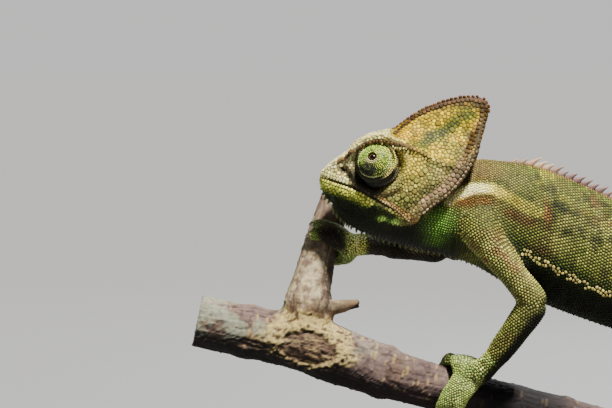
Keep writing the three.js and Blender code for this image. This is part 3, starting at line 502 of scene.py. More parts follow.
# ------------------------------------------------------------------ flesh: lofts, then one skin
g = -COAT
PARTS = {}
P, a, b = head_grid(grow=g)
PARTS["head"] = grid_mesh(P, a, b)
ts = np.linspace(0.1, TRUNK_END, 260)
P, c = body_rings(ts, 96, g)
PARTS["body"] = grid_mesh(P, c[0], c[-1])
s_tail = np.linspace(-0.0, TAIL["length"], 420)
P, c = tail_rings(s_tail, 28, g * (1 - 0.5 * 1))
PARTS["tail"] = grid_mesh(P, c[0], c[-1])
for name, limb in LIMBS.items():
    two = []
    for k, key in enumerate(("upper", "lower")):
        P, c = tube_rings(limb[key], 70, 40, g, limb["across"][k], rounded=0.17, blunt=0.3)
        two.append(grid_mesh(P, c[0], c[-1]))
    PARTS[name] = join(two)


def bundle_tubes(f, b, grow):
    T = foot_frame(f)[0]
    mid = toe_path(f, b, (b["toes"] - 1) / 2)
    w = np.linspace(0, 0.74, 5)
    c, fat = mid(w)
    half = ((b["toes"] - 1) / 2) * b["r"] * TOE_PITCH * (1 + 0.17 * w / 0.74) + fat * 0.82
    pts = np.column_stack([c, fat * 0.93, half])
    out = [tube_rings(pts, 24, 28, grow, T, (0, 1), 0.35, 0.3)]
    for j in range(b["toes"]):
        w = np.linspace(0.02, 1, 6)
        c, fat = toe_path(f, b, j)(w)
        out.append(tube_rings(np.column_stack([c, fat, fat * 0.94]), 34, 20, grow, T, (0, 1), 0.2, 0.3))
    return out


def palm_tube(f, grow):
    T, N, Y, p, r = foot_frame(f)
    ends = []
    for b in f["bundles"].values():
        c, fat = toe_path(f, b, (b["toes"] - 1) / 2)(0)
        ends.append((b["side"] * b["lo"], b, float(fat[0]), ((b["toes"] - 1) / 2) * b["r"] * TOE_PITCH + float(fat[0]) * 0.9))
    A, B = sorted(ends, key=lambda e: e[0])
    pts = []
    for i in range(7):
        k = i / 6
        phi = lerp(A[0], B[0], k)
        along = lerp(A[1]["shift"] + A[1]["skew"] * math.sin(A[1]["lo"]), B[1]["shift"] + B[1]["skew"] * math.sin(B[1]["lo"]), k) + f["palm"] * math.sin(math.pi * k)
        fat = lerp(A[2], B[2], k) + 0.7 * math.sin(math.pi * k)
        lift = r + GAP + 0.15 + fat
        c = p + T * along + N * lift * math.cos(phi) + Y * lift * math.sin(phi)
        pts.append([*c, fat, lerp(A[3], B[3], k) + 0.5 * math.sin(math.pi * k)])
    return tube_rings(pts, 26, 32, grow, T, (0, 0))


def wrist_tube(f, grow):
    """Joins the limb's end to the middle of the palm."""
    low = np.array(LIMBS[f["limb"]]["lower"])
    T, N, Y, p, r = foot_frame(f)
    b = list(f["bundles"].values())
    shift = 0.5 * sum(q["shift"] + q["skew"] * math.sin(q["lo"]) for q in b)
    phi = 0.5 * sum(q["side"] * q["lo"] for q in b)
    lift = r + 1.6
    palm = p + T * shift + N * lift * math.cos(phi) + Y * lift * math.sin(phi)
    pts = [[*low[-2][:3], low[-2][3], low[-2][4]], [*low[-1][:3], low[-1][3], low[-1][4]], [*palm, 3.1, 3.3]]
    return tube_rings(pts, 30, 32, grow, LIMBS[f["limb"]]["across"][1], (0, 0))


for name, f in FEET.items():
    tubes = [palm_tube(f, g), wrist_tube(f, g)]
    for b in f["bundles"].values():
        tubes += bundle_tubes(f, b, g * 0.8)
    PARTS[name] = join([grid_mesh(P, c[0], c[-1]) for P, c in tubes])

SKIN_V, SKIN_F = remesh("skin_raw", *join(PARTS.values()), 0.56)
SKIN_V, SKIN_F = biggest_shell(SKIN_V, SKIN_F)
note(f"remeshed skin: {len(SKIN_V)} points, {len(SKIN_F)} triangles")

# Which part each point of the skin belongs to, and how near it is to a second one
NAMES = list(PARTS)
dist = np.full((len(SKIN_V), len(NAMES)), 9.0)
for k, name in enumerate(NAMES):
    V, F = PARTS[name]
    lo, hi = V.min(0) - 3, V.max(0) + 3
    near = np.where(np.all((SKIN_V > lo) & (SKIN_V < hi), 1))[0]
    tree = BVHTree.FromPolygons(V.tolist(), F.tolist())
    find = tree.find_nearest
    for i in near:
        hit = find(SKIN_V[i], 9.0)
        if hit[3] is not None:
            dist[i, k] = hit[3]
LABEL = dist.argmin(1)
second = np.sort(dist, 1)[:, 1]
note("labelled")

# Flesh flows from one part into the next, most of all where the limbs leave the trunk
limbish = np.isin(LABEL, [NAMES.index(n) for n in NAMES if n not in ("head", "body", "tail")])
to_body = dist[:, NAMES.index("body")]
to_limb = dist[:, [NAMES.index(n) for n in LIMBS]].min(1)
to_head = dist[:, NAMES.index("head")]
crease = np.clip(1 - np.maximum(to_body, to_limb) / 3.2, 0, 1)
crease = np.maximum(crease, np.clip(1 - second / 1.1, 0, 1) * 0.6)
flap = np.clip(1 - np.maximum(to_head, to_body) / 2.0, 0, 1)  # the casque's rear edge keeps its step over the neck
crease = spread(crease * (1 - flap), SKIN_F, len(SKIN_V), 5)
SKIN_V = smooth(SKIN_V, SKIN_F, 4, 0.5, 0.5)
SKIN_V = smooth(SKIN_V, SKIN_F, 36, 0.5, 0.0, np.clip(crease * 1.5, 0, 1))
note("smoothed")


# ------------------------------------------------------------------ folds and ridges of the skin
def outline_distance(u, v, pts=OUTLINE):
    """How far a place on the side of the head is from the head's rear edge."""
    q = np.stack([u, v], -1)
    best = np.full(q.shape[:-1], 1e9)
    for a, b in zip(pts[:-1], pts[1:]):
        t = np.clip(((q - a) @ (b - a)) / ((b - a) @ (b - a)), 0, 1)
        best = np.minimum(best, np.linalg.norm(q - a - t[..., None] * (b - a), axis=-1))
    return best


def head_relief(P):
    u, v = head_uv(P)
    vm, vr = mouthV(u), ridgeV(u)
    inside = ss(u, -0.5, 0.5) * (1 - ss(u, 36.5, 38))
    d = np.hypot(u - EYE["u"], v - EYE["v"])
    side = ss(np.abs(P[:, 1]), 1.5, 4)
    out = 0.45 * np.exp(-(((v - vr - BEADS(u)) / 0.95) ** 2)) * ss(u, 1.5, 5)
    out += side * (0.55 * np.exp(-(((d - 7.15) / 0.75) ** 2)) - 0.3 * np.exp(-(((d - 8.5) / 0.6) ** 2)) - 1.1 * (1 - ss(d, 5.3, 6.5)))
    vs = slitV(u)
    out -= 0.5 * np.exp(-(((v - vs) / 0.36) ** 2)) * ss(u, 0.4, 1.2) * (1 - ss(u, 20, 23)) * side
    out += 0.42 * np.exp(-(((v - vs - 0.9) / 0.6) ** 2)) * (1 - ss(u, 14, 20))
    out -= 0.5 * ss(vs - v, 2.0, 5.0) * (1 - ss(u, 10, 16))
    nose = np.hypot((u - 5.1) * 0.8, v - 3.9)
    out -= 0.8 * np.exp(-((nose / 0.55) ** 2)) * side
    out += 0.3 * np.exp(-(((nose - 1.3) / 0.5) ** 2)) * side
    # hollow temple between the crest and the lateral ridge
    f = (v - vr) / np.maximum(crownV(u) - vr, 1e-3)
    out -= 0.55 * ss(u, 17, 21) * (1 - ss(u, 31, 34.5)) * np.exp(-(((f - 0.45) / 0.25) ** 2)) * side
    # swollen rim at the back of the casque
    edge = outline_distance(u, v)
    out += 0.55 * np.exp(-(((edge - 1.4) / 1.1) ** 2)) * side
    out -= 0.3 * np.exp(-(((edge - 3.7) / 0.8) ** 2)) * side
    # folds of the throat
    out += 0.22 * np.sin((u + 0.5 * v) * 2.1) * ss(-v, 1.5, 4) * (1 - ss(u, 22, 27))
    return out * inside


def body_relief(P):
    x, z = P[:, 0], P[:, 2]
    flank = ss(np.abs(P[:, 1]), 3, 7)
    along = x + 0.28 * (60 - z)
    out = 0.16 * np.sin(along * 1.25 + 1.6 * noise(P, 9, 3)) * flank * ss(along, 60, 72)
    neck = np.exp(-(((along - 47) / 6) ** 2)) * ss(z, 36, 44) * (1 - ss(z, 60, 65))
    out += 0.5 * np.sin(along * 2.3 + 2.6 * noise(P, 7, 5)) * neck * flank
    out += 0.3 * (cloud(P, 6, 8) - 0.5)
    u, v = head_uv(P)
    out -= 0.75 * np.exp(-((outline_distance(u, v) / 1.3) ** 2)) * ss(np.abs(P[:, 1]), 4, 6) * ss(u, 29, 31)
    return out


def limb_relief(P):
    return 0.3 * (cloud(P, 3.2, 21, 2) - 0.5)


NORMAL = vertex_normals(SKIN_V, SKIN_F)
is_head = (LABEL == NAMES.index("head")).astype(float)
w_head = spread(is_head, SKIN_F, len(SKIN_V), 3)
relief = w_head * head_relief(SKIN_V) + (1 - w_head) * np.where(limbish, limb_relief(SKIN_V), body_relief(SKIN_V))
u_, v_ = head_uv(SKIN_V)
back_face = w_head * ss(NORMAL @ np.array([CP, 0, -SP]), 0.35, 0.7)  # keeps the rear of the casque plain
SKIN_V = SKIN_V + NORMAL * (relief * (1 - 0.8 * back_face))[:, None]
SKIN_V = smooth(SKIN_V, SKIN_F, 1, 0.35)
NORMAL = vertex_normals(SKIN_V, SKIN_F)
SKIN_TREE = BVHTree.FromPolygons(SKIN_V.tolist(), SKIN_F.tolist())
note("relief")


# ------------------------------------------------------------------ where the scales grow
def lattice(rings_of, t, pitch, sides=96):
    """Rows of seeds round a loft: each row is shifted by half a scale from the one before."""
    P = rings_of(t, sides)
    step = np.linalg.norm(np.diff(P, axis=0), axis=2).max(1)
    size = pitch(t) if callable(pitch) else np.full(len(t), pitch)
    run = np.concatenate([[0], np.cumsum(step / (0.5 * (size[1:] + size[:-1])))]) / 0.866
    rows = np.arange(0.5, run[-1], 1.0)
    tt = np.interp(rows, run, t)
    P = rings_of(tt, sides)
    p = np.interp(tt, t, size)
    out, outp = [], []
    for k in range(len(tt)):
        ring = np.vstack([P[k], P[k][:1]])
        L = np.concatenate([[0], np.cumsum(np.linalg.norm(np.diff(ring, axis=0), axis=1))])
        n = max(int(round(L[-1] / p[k])), 5)
        at = (np.arange(n) + (0.5 if k % 2 else 0.0)) / n * L[-1]
        out.append(np.stack([np.interp(at, L, ring[:, a]) for a in range(3)], 1))
        outp.append(np.full(n, p[k]))
    return np.vstack(out), np.concatenate(outp)


def project(P, limit=3.0):
    """Nearest point of the skin, with its smooth normal, triangle and distance."""
    Q, tri, far = np.empty_like(P), np.zeros(len(P), int), np.empty(len(P))
    find = SKIN_TREE.find_nearest
    for i, p in enumerate(P.tolist()):
        hit = find(p)
        Q[i], tri[i], far[i] = hit[0], hit[2], hit[3]
    T = SKIN_F[tri]
    A, B, C = SKIN_V[T[:, 0]], SKIN_V[T[:, 1]], SKIN_V[T[:, 2]]
    v0, v1, v2 = B - A, C - A, Q - A
    d00, d01, d11 = (v0 * v0).sum(1), (v0 * v1).sum(1), (v1 * v1).sum(1)
    d20, d21 = (v2 * v0).sum(1), (v2 * v1).sum(1)
    den = np.where(np.abs(d00 * d11 - d01 * d01) < 1e-12, 1, d00 * d11 - d01 * d01)
    b1, b2 = np.clip((d11 * d20 - d01 * d21) / den, 0, 1), np.clip((d00 * d21 - d01 * d20) / den, 0, 1)
    b0 = np.clip(1 - b1 - b2, 0, 1)
    N = unit(NORMAL[T[:, 0]] * b0[:, None] + NORMAL[T[:, 1]] * b1[:, None] + NORMAL[T[:, 2]] * b2[:, None])
    return Q, N, tri, far


def neighbours(P, K):
    kd = KDTree(len(P))
    rows = P.tolist()
    for i, p in enumerate(rows):
        kd.insert(p, i)
    kd.balance()
    find = kd.find_n
    out = np.empty((len(P), K), int)
    for i, p in enumerate(rows):
        out[i] = [h[1] for h in find(p, K + 1)][-K:]
    return out


def darts(cands, radius, kept, kept_radius, factor):
    """Keeps each candidate that has room among those already kept."""
    cell = 2.0
    grid = {}

    def put(x, y, z, r):
        grid.setdefault((int(x // cell), int(y // cell), int(z // cell)), []).append((x, y, z, r))

    for (x, y, z), r in zip(kept.tolist(), kept_radius.tolist()):
        put(x, y, z, r)
    chosen = []
    for i, ((x, y, z), r) in enumerate(zip(cands.tolist(), radius.tolist())):
        reach = factor * (r + 0.95)
        ok = True
        for gx in range(int((x - reach) // cell), int((x + reach) // cell) + 1):
            for gy in range(int((y - reach) // cell), int((y + reach) // cell) + 1):
                for gz in range(int((z - reach) // cell), int((z + reach) // cell) + 1):
                    for qx, qy, qz, qr in grid.get((gx, gy, gz), ()):
                        lim = factor * (r + qr)
                        if (x - qx) ** 2 + (y - qy) ** 2 + (z - qz) ** 2 < lim * lim:
                            ok = False
                            break
                    if not ok:
                        break
                if not ok:
                    break
            if not ok:
                break
        if ok:
            chosen.append(i)
            put(x, y, z, r)
    return np.array(chosen, int)


HEAD_ID, BODY_ID, TAIL_ID = (NAMES.index(n) for n in ("head", "body", "tail"))
FOOT_IDS = [NAMES.index(n) for n in FEET]
TRUNK_PITCH = 0.85


def head_pitch(P, N):
    u, v = head_uv(P)
    vr, vm, vt = ridgeV(u), mouthV(u), crownV(u)
    f = (v - vr) / np.maximum(vt - vr, 1e-3)
    d = np.hypot(u - EYE["u"], v - EYE["v"])
    p = np.full(len(P), 0.86)
    p = lerp(p, 0.95, ss(v - vr, 0.2, 2.0) * ss(u, 14, 18))
    p = lerp(p, 0.84, (v > vr) * (1 - ss(u, 12, 16)))
    p = lerp(p, 0.88, (1 - ss(u, 6, 10)) * ss(v - slitV(u), 1.6, 2.4))
    p = lerp(p, 0.94, ss(f, 0.72, 0.9) * ss(u, 14, 18))
    p = lerp(p, 0.72, (1 - ss(d, 7.2, 8.4)) * (v < vr))
    p = lerp(p, 0.74, ss(slitV(u) - v, 0.8, 2.2))
    p = lerp(p, 0.95, ss(N @ np.array([CP, 0, -SP]), 0.4, 0.8))
    return p * (0.76 + 0.46 * noise(P, 1.6, 203))


def pitch_of(P, N, label):
    x, z = P[:, 0], P[:, 2]
    p = np.full(len(P), TRUNK_PITCH)
    p = np.where(label == BODY_ID, lerp(0.68, TRUNK_PITCH, ss(x, 46, 60)), p)
    p = np.where(np.isin(label, [NAMES.index(n) for n in LIMBS]), 0.82, p)
    p = np.where(np.isin(label, FOOT_IDS), 0.68, p)
    p = np.where(label == TAIL_ID, 0.66, p)
    head = label == HEAD_ID
    if head.any():
        p[head] = head_pitch(P[head], N[head])
    return p


def tail_s(P):
    """Distance along the tail of the nearest point of its centre line."""
    kd = KDTree(len(TAIL_POINTS))
    for i, q in enumerate(TAIL_POINTS.tolist()):
        kd.insert(q, i)
    kd.balance()
    return np.array([kd.find(p)[1] for p in P.tolist()]) * 0.5


# feature rows of the head: fixed seeds with a radius, a height and a kind
FEATURES = []  # (points, radius, height, kind)


def along(points, step):
    L = np.concatenate([[0], np.cumsum(np.linalg.norm(np.diff(points, axis=0), axis=1))])
    n = max(int(L[-1] / step), 1)
    at = (np.arange(n) + 0.5) * L[-1] / n
    return np.stack([np.interp(at, L, points[:, a]) for a in range(3)], 1)


def head_line(us, vs, sign):
    return head_at(us, sign * (head_half(us, vs) - COAT + 0.3), vs)


edge_run = along(np.column_stack([OUTLINE, np.zeros(len(OUTLINE))]), 0.25)[:, :2]
edge_in = np.stack([-np.gradient(edge_run[:, 1]), np.gradient(edge_run[:, 0])], 1)
edge_in = unit(edge_in)
for sign in (-1, 1):
    us = np.linspace(3.0, 24.8, 300)
    FEATURES.append((along(head_line(us, ridgeV(us) + BEADS(us), sign), 0.98), 0.5, 0.4, "ridge"))
    us = np.linspace(7.6, 18.4, 200)
    FEATURES.append((along(head_line(us, ridgeV(us) + BEADS(us) - 0.76, sign), 0.6), 0.34, 0.75, "cream"))
    us = np.linspace(4.2, 23.8, 300)
    FEATURES.append((along(head_line(us, ridgeV(us) + BEADS(us) + 0.95, sign), 1.0), 0.46, 0.24, "ridge2"))
    us = np.linspace(0.4, 15.5, 200)
    FEATURES.append((along(head_line(us, slitV(us) + 0.72, sign), 0.92), 0.46, 0.24, "lip"))
    us = np.linspace(15.6, 26.4, 120)
    FEATURES.append((along(head_line(us, slitV(us) + 0.5, sign), 0.7), 0.35, 0.22, "corner"))
    FEATURES.append((along(head_line(us[:-24], slitV(us[:-24]) + 1.15, sign), 0.74), 0.34, 0.2, "corner2"))
    us = np.linspace(0.4, 15.5, 200)
    FEATURES.append((along(head_line(us, slitV(us) - 0.72, sign), 0.8), 0.4, 0.24, "jawlip"))
    us = np.linspace(14.2, 35.2, 200)
    FEATURES.append((along(head_line(us, crownV(us) - 1.28, sign), 1.14), 0.6, 0.28, "crest2"))
    for inset, r, step, rise in ((0.62, 0.56, 1.14, 0.3), (1.78, 0.64, 1.26, 0.3), (3.0, 0.62, 1.26, 0.28)):
        q = edge_run + edge_in * inset
        if inset > 2:
            q = q[(q[:, 1] > 3.0) & (q[:, 1] < 25)]
        pts = head_at(q[:, 0], sign * (head_half(q[:, 0], q[:, 1])), q[:, 1])
        FEATURES.append((along(pts, step), r, rise, "rim"))
    # wide grey-green plates scattered on the cheek and casque
    for _ in range(46):
        uq, vq = RNG.uniform(17, 33), RNG.uniform(1, 30)
        if vq < slitV(uq) + 2 or vq > crownV(uq) - 3 or abs(vq - ridgeV(uq)) < 2.0 or outline_distance(np.array([uq]), np.array([vq]))[0] < 4.4 or math.hypot(uq - EYE["u"], vq - EYE["v"]) < 8.6:
            continue
        FEATURES.append((head_at(np.array([uq]), sign * head_half(np.array([uq]), np.array([vq])), np.array([vq])), RNG.uniform(0.62, 0.8), 0.24, "wide"))
us = np.linspace(13.6, 35.9, 240)
FEATURES.append((along(head_at(us, 0, crownV(us) - 0.1), 1.12), 0.62, 0.46, "crest"))

# the double row of pale tubercles low on each flank
row = curve([(57.0, 42.4), (63.5, 38.8), (68.8, 35.9), (74, 33.5), (80.8, 30.7), (92, 26.6), (105, 22.6), (118, 19.0), (130, 17.2)])
xs = np.linspace(57, 129, 400)
for sign in (-1, 1):
    for off in (-0.46, 0.46):
        wave = 0.35 * np.sin(xs * 1.1 + off) + 0.2 * np.sin(xs * 2.7)
        pts = along(np.stack([xs + (0.5 if off > 0 else 0), np.full_like(xs, sign * 9.0), row(xs) + off + wave], 1), 0.94)
        pts = pts[RNG.random(len(pts)) > 0.12] + 0
        FEATURES.append((pts + RNG.normal(0, 0.1, pts.shape), 0.42, 0.36, "flank"))

feat_P = np.vstack([f[0] for f in FEATURES])
feat_R = np.concatenate([np.full(len(f[0]), f[1]) for f in FEATURES])
feat_H = np.concatenate([np.full(len(f[0]), f[2]) for f in FEATURES])
KINDS = ["", "ridge", "ridge2", "lip", "jawlip", "crest", "crest2", "rim", "flank", "wide", "corner", "corner2", "cream"]
feat_K = np.concatenate([np.full(len(f[0]), KINDS.index(f[3])) for f in FEATURES])
feat_P, feat_N, _, far = project(feat_P)
ok = far < 3.0
one = darts(feat_P[ok], feat_R[ok], np.zeros((0, 3)), np.zeros(0), 0.7)
feat_P, feat_R, feat_H, feat_K = (a[ok][one] for a in (feat_P, feat_R, feat_H, feat_K))

# lattice rows for the trunk, tail, limbs and toes
seeds, sizes, owner = [], [], []


def grow(points, pitch, name):
    seeds.append(points)
    sizes.append(pitch)
    owner.append(np.full(len(points), NAMES.index(name)))


grow(*lattice(lambda t, n: body_rings(t, n, -COAT)[0], np.linspace(1.0, TRUNK_END, 500), lambda t: lerp(0.66, TRUNK_PITCH, ss(t, 5.5, 8))), "body")
grow(*lattice(lambda s, n: tail_rings(s, n, -COAT / 2)[0], np.linspace(0, TAIL["length"], 500), lambda s: lerp(0.84, 0.5, ss(s, 0, 150)), 48), "tail")
for name, limb in LIMBS.items():
    for k, key in enumerate(("upper", "lower")):
        at = spline(limb[key])

        def rings_of(t, n, key=key, k=k, limb=limb):
            P, c = tube_rings(limb[key], 160, n, -COAT, limb["across"][k], rounded=0.17, blunt=0.3)
            grid = np.linspace(0, 1, 160)
            i = np.clip(t * 159, 0, 158.999)
            lo = i.astype(int)
            f = (i - lo)[:, None, None]
            return P[lo] * (1 - f) + P[lo + 1] * f

        grow(*lattice(rings_of, np.linspace(0, 1, 300), 0.82, 64), name)
for name, f in FEET.items():
    for b in f["bundles"].values():
        for P, c in bundle_tubes(f, b, -COAT * 0.8)[1:]:

            def rings_of(t, n, P=P):
                i = np.clip(t * (len(P) - 1), 0, len(P) - 1.001)
                lo = i.astype(int)
                w = (i - lo)[:, None, None]
                return P[lo] * (1 - w) + P[lo + 1] * w

            grow(*lattice(rings_of, np.linspace(0, 1, 120), 0.66), name)
seeds, sizes, owner = np.vstack(seeds), np.concatenate(sizes), np.concatenate(owner)
Q, N, tri, far = project(seeds)
label = LABEL[SKIN_F[tri, 0]]
ok = (far < 0.9) & ((label == owner) | (far < 0.45)) & (label != HEAD_ID)
note(f"lattice seeds {len(seeds)}, on the skin {ok.sum()}")
seeds, sizes = Q[ok], sizes[ok]

# the head and the gaps that are left: random darts
cent = SKIN_V[SKIN_F].mean(1)
face_label = LABEL[SKIN_F[:, 0]]
face_N = unit(NORMAL[SKIN_F].sum(1))
order = RNG.permutation(np.where(face_label == HEAD_ID)[0])
extra = cent[order] + RNG.normal(0, 0.1, (len(order), 3))
hp = head_pitch(cent[order], face_N[order])
pick = darts(extra, hp / 2, feat_P, feat_R, 0.8)
head_seeds, head_sizes = extra[pick], hp[pick]
kept = np.vstack([feat_P, head_seeds])
kept_R = np.concatenate([feat_R, head_sizes / 2])
pick = darts(seeds, sizes / 2, kept, kept_R, 0.78)
kept = np.vstack([kept, seeds[pick]])
kept_R = np.concatenate([kept_R, sizes[pick] / 2])
kd = KDTree(len(kept))
for i, p in enumerate(kept.tolist()):
    kd.insert(p, i)
kd.balance()
gap = np.array([kd.find(p)[2] for p in cent.tolist()])
face_pitch = pitch_of(cent, face_N, face_label)
loose = RNG.permutation(np.where(gap > 0.95 * face_pitch)[0])
pick = darts(cent[loose], face_pitch[loose] / 2, kept, kept_R, 0.82)
P = np.vstack([kept, cent[loose][pick]])
R = np.concatenate([kept_R, face_pitch[loose][pick] / 2])
H = np.concatenate([feat_H, 0.58 * R[len(feat_R):]])
KIND = np.concatenate([feat_K, np.zeros(len(P) - len(feat_K), int)])
note(f"seeds {len(P)}: features {len(feat_R)}, head {len(head_seeds)}, fill {len(pick)}")

P, N, tri, far = project(P)
fixed = KIND > 0
ROUNDS = 7
for it in range(ROUNDS):
    near = neighbours(P, 8)
    D = P[:, None] - P[near]
    d = np.linalg.norm(D, axis=2)
    push = np.clip(1 - d / (1.04 * (R[:, None] + R[near])), 0, 1)
    step = ((push / np.maximum(d, 1e-6))[..., None] * D).sum(1)
    step -= N * (step * N).sum(1, keepdims=True)
    size = np.linalg.norm(step, axis=1, keepdims=True)
    step *= np.minimum(1, 0.5 / np.maximum(size, 1e-9))
    P = np.where(fixed[:, None], P, P + step * R[:, None] * 0.9)
    P, N, tri, far = project(P)
note("relaxed")

# close pairs that could not part: the smaller one goes
near = neighbours(P, 4)
d = np.linalg.norm(P[:, None] - P[near], axis=2)
close = (d < 0.5 * (R[:, None] + R[near])) & (near < np.arange(len(P))[:, None])
keep = ~close.any(1) | fixed
P, N, tri, R, H, KIND = (a[keep] for a in (P, N, tri, R, H, KIND))
PART = LABEL[SKIN_F[tri, 0]]

# nothing grows inside an eye socket, in the slit of the mouth or on the nostril
u, v = head_uv(P)
d_eye = np.hypot(u - EYE["u"], v - EYE["v"])
side = np.abs(P[:, 1]) > 3
inside = (PART == HEAD_ID) & side & (d_eye < np.where(KIND == 12, 5.1, 5.6))
slit = (PART == HEAD_ID) & (KIND == 0) & (np.abs(v - slitV(u)) < 0.36) & (u > 0.4) & (u < 20.6) & side
nostril = (PART == HEAD_ID) & side & (np.hypot((u - 5.1) * 0.8, v - 3.9) < 0.62)
H = np.where((PART == HEAD_ID) & (KIND == 0), H * lerp(0.5, 1.0, ss(slitV(u) - v, 0.5, 2.5)) * (1 - 0.35 * (1 - ss(u, 8, 12)) * ss(v - slitV(u), 1, 2)), H)
keep = ~(inside | slit | nostril)
P, N, tri, R, H, KIND, PART = (a[keep] for a in (P, N, tri, R, H, KIND, PART))
note(f"scales {len(P)}")


# ------------------------------------------------------------------ markings, the same for skin and scales
def blob(P, x, z, rx, rz, turn=0.0):
    c, s = math.cos(turn), math.sin(turn)
    dx, dz = P[:, 0] - x, P[:, 2] - z
    a, b = (dx * c + dz * s) / rx, (-dx * s + dz * c) / rz
    return np.exp(-(a * a + b * b))


def polyline_distance(P, pts):
    best = np.full(len(P), 1e9)
    q = P[:, [0, 2]]
    for a, b in zip(pts[:-1], pts[1:]):
        a, b = np.array(a, float), np.array(b, float)
        t = np.clip(((q - a) @ (b - a)) / ((b - a) @ (b - a)), 0, 1)
        best = np.minimum(best, np.linalg.norm(q - a - t[:, None] * (b - a), axis=1))
    return best


def mix(c, colour, amount):
    return c + (np.array(colour, float) - c) * np.clip(amount, 0, 1)[:, None]


def stripe_amount(P):
    """The cream stripe that runs from the casque's rim over the shoulder."""
    n1, n2, n3 = cloud(P, 7, 31), cloud(P, 3.2, 47), noise(P, 1.3, 59)
    wob = 0.9 * (np.stack([n2, n2, n1], 1) - 0.5)
    ds = polyline_distance(P + wob, [(38.6, 55.2), (40.6, 56.8), (44.5, 58.5), (49.6, 58.2), (53.5, 56.3), (58.0, 54.0), (62.4, 51.8)])
    fade = 1 - ss(P[:, 0], 48, 56) * (0.36 - 0.36 * n3) - 0.34 * ss(P[:, 0], 55, 60)
    return (1 - ss(ds, 0.85, 1.9)) * ss(np.abs(P[:, 1]), 2, 5) * (0.85 + 0.15 * n3) * fade


def paint(P, N, part, kind=None):
    """Colours from 0 to 255 in the usual display space."""
    x, y, z = P.T
    n = len(P)
    n1, n2, n3 = cloud(P, 7, 31), cloud(P, 3.2, 47), noise(P, 1.3, 59)
    kind = np.zeros(n, int) if kind is None else kind
    # trunk and neck
    along_x = x + 0.28 * (60 - z)
    flank = ss(np.abs(y), 2, 5)
    c = np.tile(np.array([142.0, 146, 80]), (n, 1))
    c = mix(c, (186, 180, 112), ss(n1, 0.46, 0.72) * 0.8)
    c = mix(c, (96, 108, 52), ss(1 - n2, 0.5, 0.78) * 0.8)
    upper = ss(z + 0.5 * (x - 60), 46, 58)
    c = mix(c, (190, 180, 110), upper * ss(cloud(P, 5, 67), 0.42, 0.7) * 0.6)
    c = mix(c, (84, 84, 48), ss(cloud(P, 2.6, 73), 0.56, 0.68) * ss(x, 58, 66) * 0.8)
    c = mix(c, (140, 96, 62), ss(cloud(P, 4.5, 71), 0.6, 0.74) * ss(x, 64, 78) * (1 - ss(-(z - 38 + 0.5 * (x - 60)), -6, 0)) * 0.7)
    for bx, bz in ((67, 53.5), (70.9, 51.7), (74.8, 49.9), (72.8, 47.3), (76.7, 45.2), (69.5, 47.0)):
        c = mix(c, (40, 46, 22), blob(P, bx, bz, 1.7, 1.2, -0.4) * flank * 0.9)
    c = mix(c, (206, 194, 142), blob(P, 72, 48, 9, 7, -0.5) * flank * ss(n2, 0.35, 0.6) * 0.4)
    c = mix(c, (220, 206, 92), ss(cloud(P, 3.4, 235), 0.5, 0.64) * ss(z + 0.5 * (x - 60), 57, 62) * ss(x, 56, 62) * 0.75)
    # vivid green on the front of the neck and low on the flank
    c = mix(c, (176, 240, 112), blob(P, 36.0, 49.5, 4.2, 5.5) * flank * 0.9)
    c = mix(c, (48, 64, 18), ss(-(z - 45 + 0.52 * (x - 60)), -1, 4) * ss(x, 48, 56) * 0.95)
    # shaded throat and belly
    c = mix(c, (26, 32, 12), (1 - ss(z - 0.22 * (x - 10), 37, 44)) * (1 - ss(x, 38, 46)) * 0.97)
    c = mix(c, (22, 28, 10), (1 - ss(z - 0.22 * (x - 10), 43, 49)) * (1 - ss(x, 29, 36)) * 0.95)
    c = mix(c, (30, 40, 14), (1 - ss(x, 18, 26)) * (1 - ss(z, 53, 56)) * 0.95)
    c = mix(c, (164, 232, 112), blob(P, 35.4, 46.6, 3.8, 4.8) * flank * 0.85)
    low = ss(-(z - row(x)), 0.6, 3.0) * ss(x, 50, 56)
    c = mix(c, (24, 29, 10), low * 0.95)
    c = mix(c, (46, 56, 20), (1 - ss(z, 36, 40)) * (1 - ss(x, 50, 60)) * 0.8)
    # cream stripe from the casque's rim over the shoulder, with rust below it
    wob = 0.9 * (np.stack([n2, n2, n1], 1) - 0.5)
    cream = lerp(np.array([[255.0, 244, 196]]), np.array([[230.0, 214, 104]]), ss(x, 45, 54)[:, None])
    c = c + (cream - c) * stripe_amount(P)[:, None]
    c = mix(c, (190, 150, 88), ss(z, 59.6, 61.2) * (1 - ss(x, 47, 57)) * ss(x, 38, 42) * 0.7)
    for bx, bz, rx, rz, tr, col, k in ((42.6, 55.0, 3.0, 1.3, 0.2, (186, 126, 70), 1.0), (47.4, 55.2, 3.2, 1.4, 0.0, (188, 136, 76), 1.0), (55.4, 51.6, 2.8, 1.5, -0.5, (122, 82, 50), 0.9), (59.2, 49.8, 2.4, 1.4, -0.4, (116, 80, 50), 0.85),
                                      (63.9, 51.4, 1.0, 3.4, 0.0, (160, 98, 70), 0.8), (62.4, 42.4, 3.0, 1.6, -0.4, (86, 62, 42), 0.85), (41.0, 60.8, 2.2, 2.0, 0.0, (156, 114, 72), 0.6)):
        c = mix(c, col, blob(P + wob, bx, bz, rx, rz, tr) * k * flank)
    rear_bands = ss(np.sin(along_x * 0.42 + 2.5 * n1), 0.2, 0.9) * ss(x, 82, 92)
    c = mix(c, (184, 170, 84), rear_bands * 0.65)
    c = mix(c, (52, 60, 26), ss(np.sin(along_x * 0.42 + 3.1 + 2.5 * n1), 0.6, 1.0) * ss(x, 84, 94) * 0.55)
    crest = (1 - ss(np.abs(y), 0.6, 2.0)) * (N[:, 2] > 0.3) * ss(x, 50, 58)
    c = mix(c, (164, 128, 104), crest * 0.75)
    u, v = head_uv(P)
    # painted shade in the groove on the neck just behind the casque's rear edge
    behind = np.exp(-((outline_distance(u, v) / 1.2) ** 2)) * ss(np.abs(y), 3, 5) * ss(u, 29, 31)
    c = mix(c, (36, 32, 16), behind * 0.8)
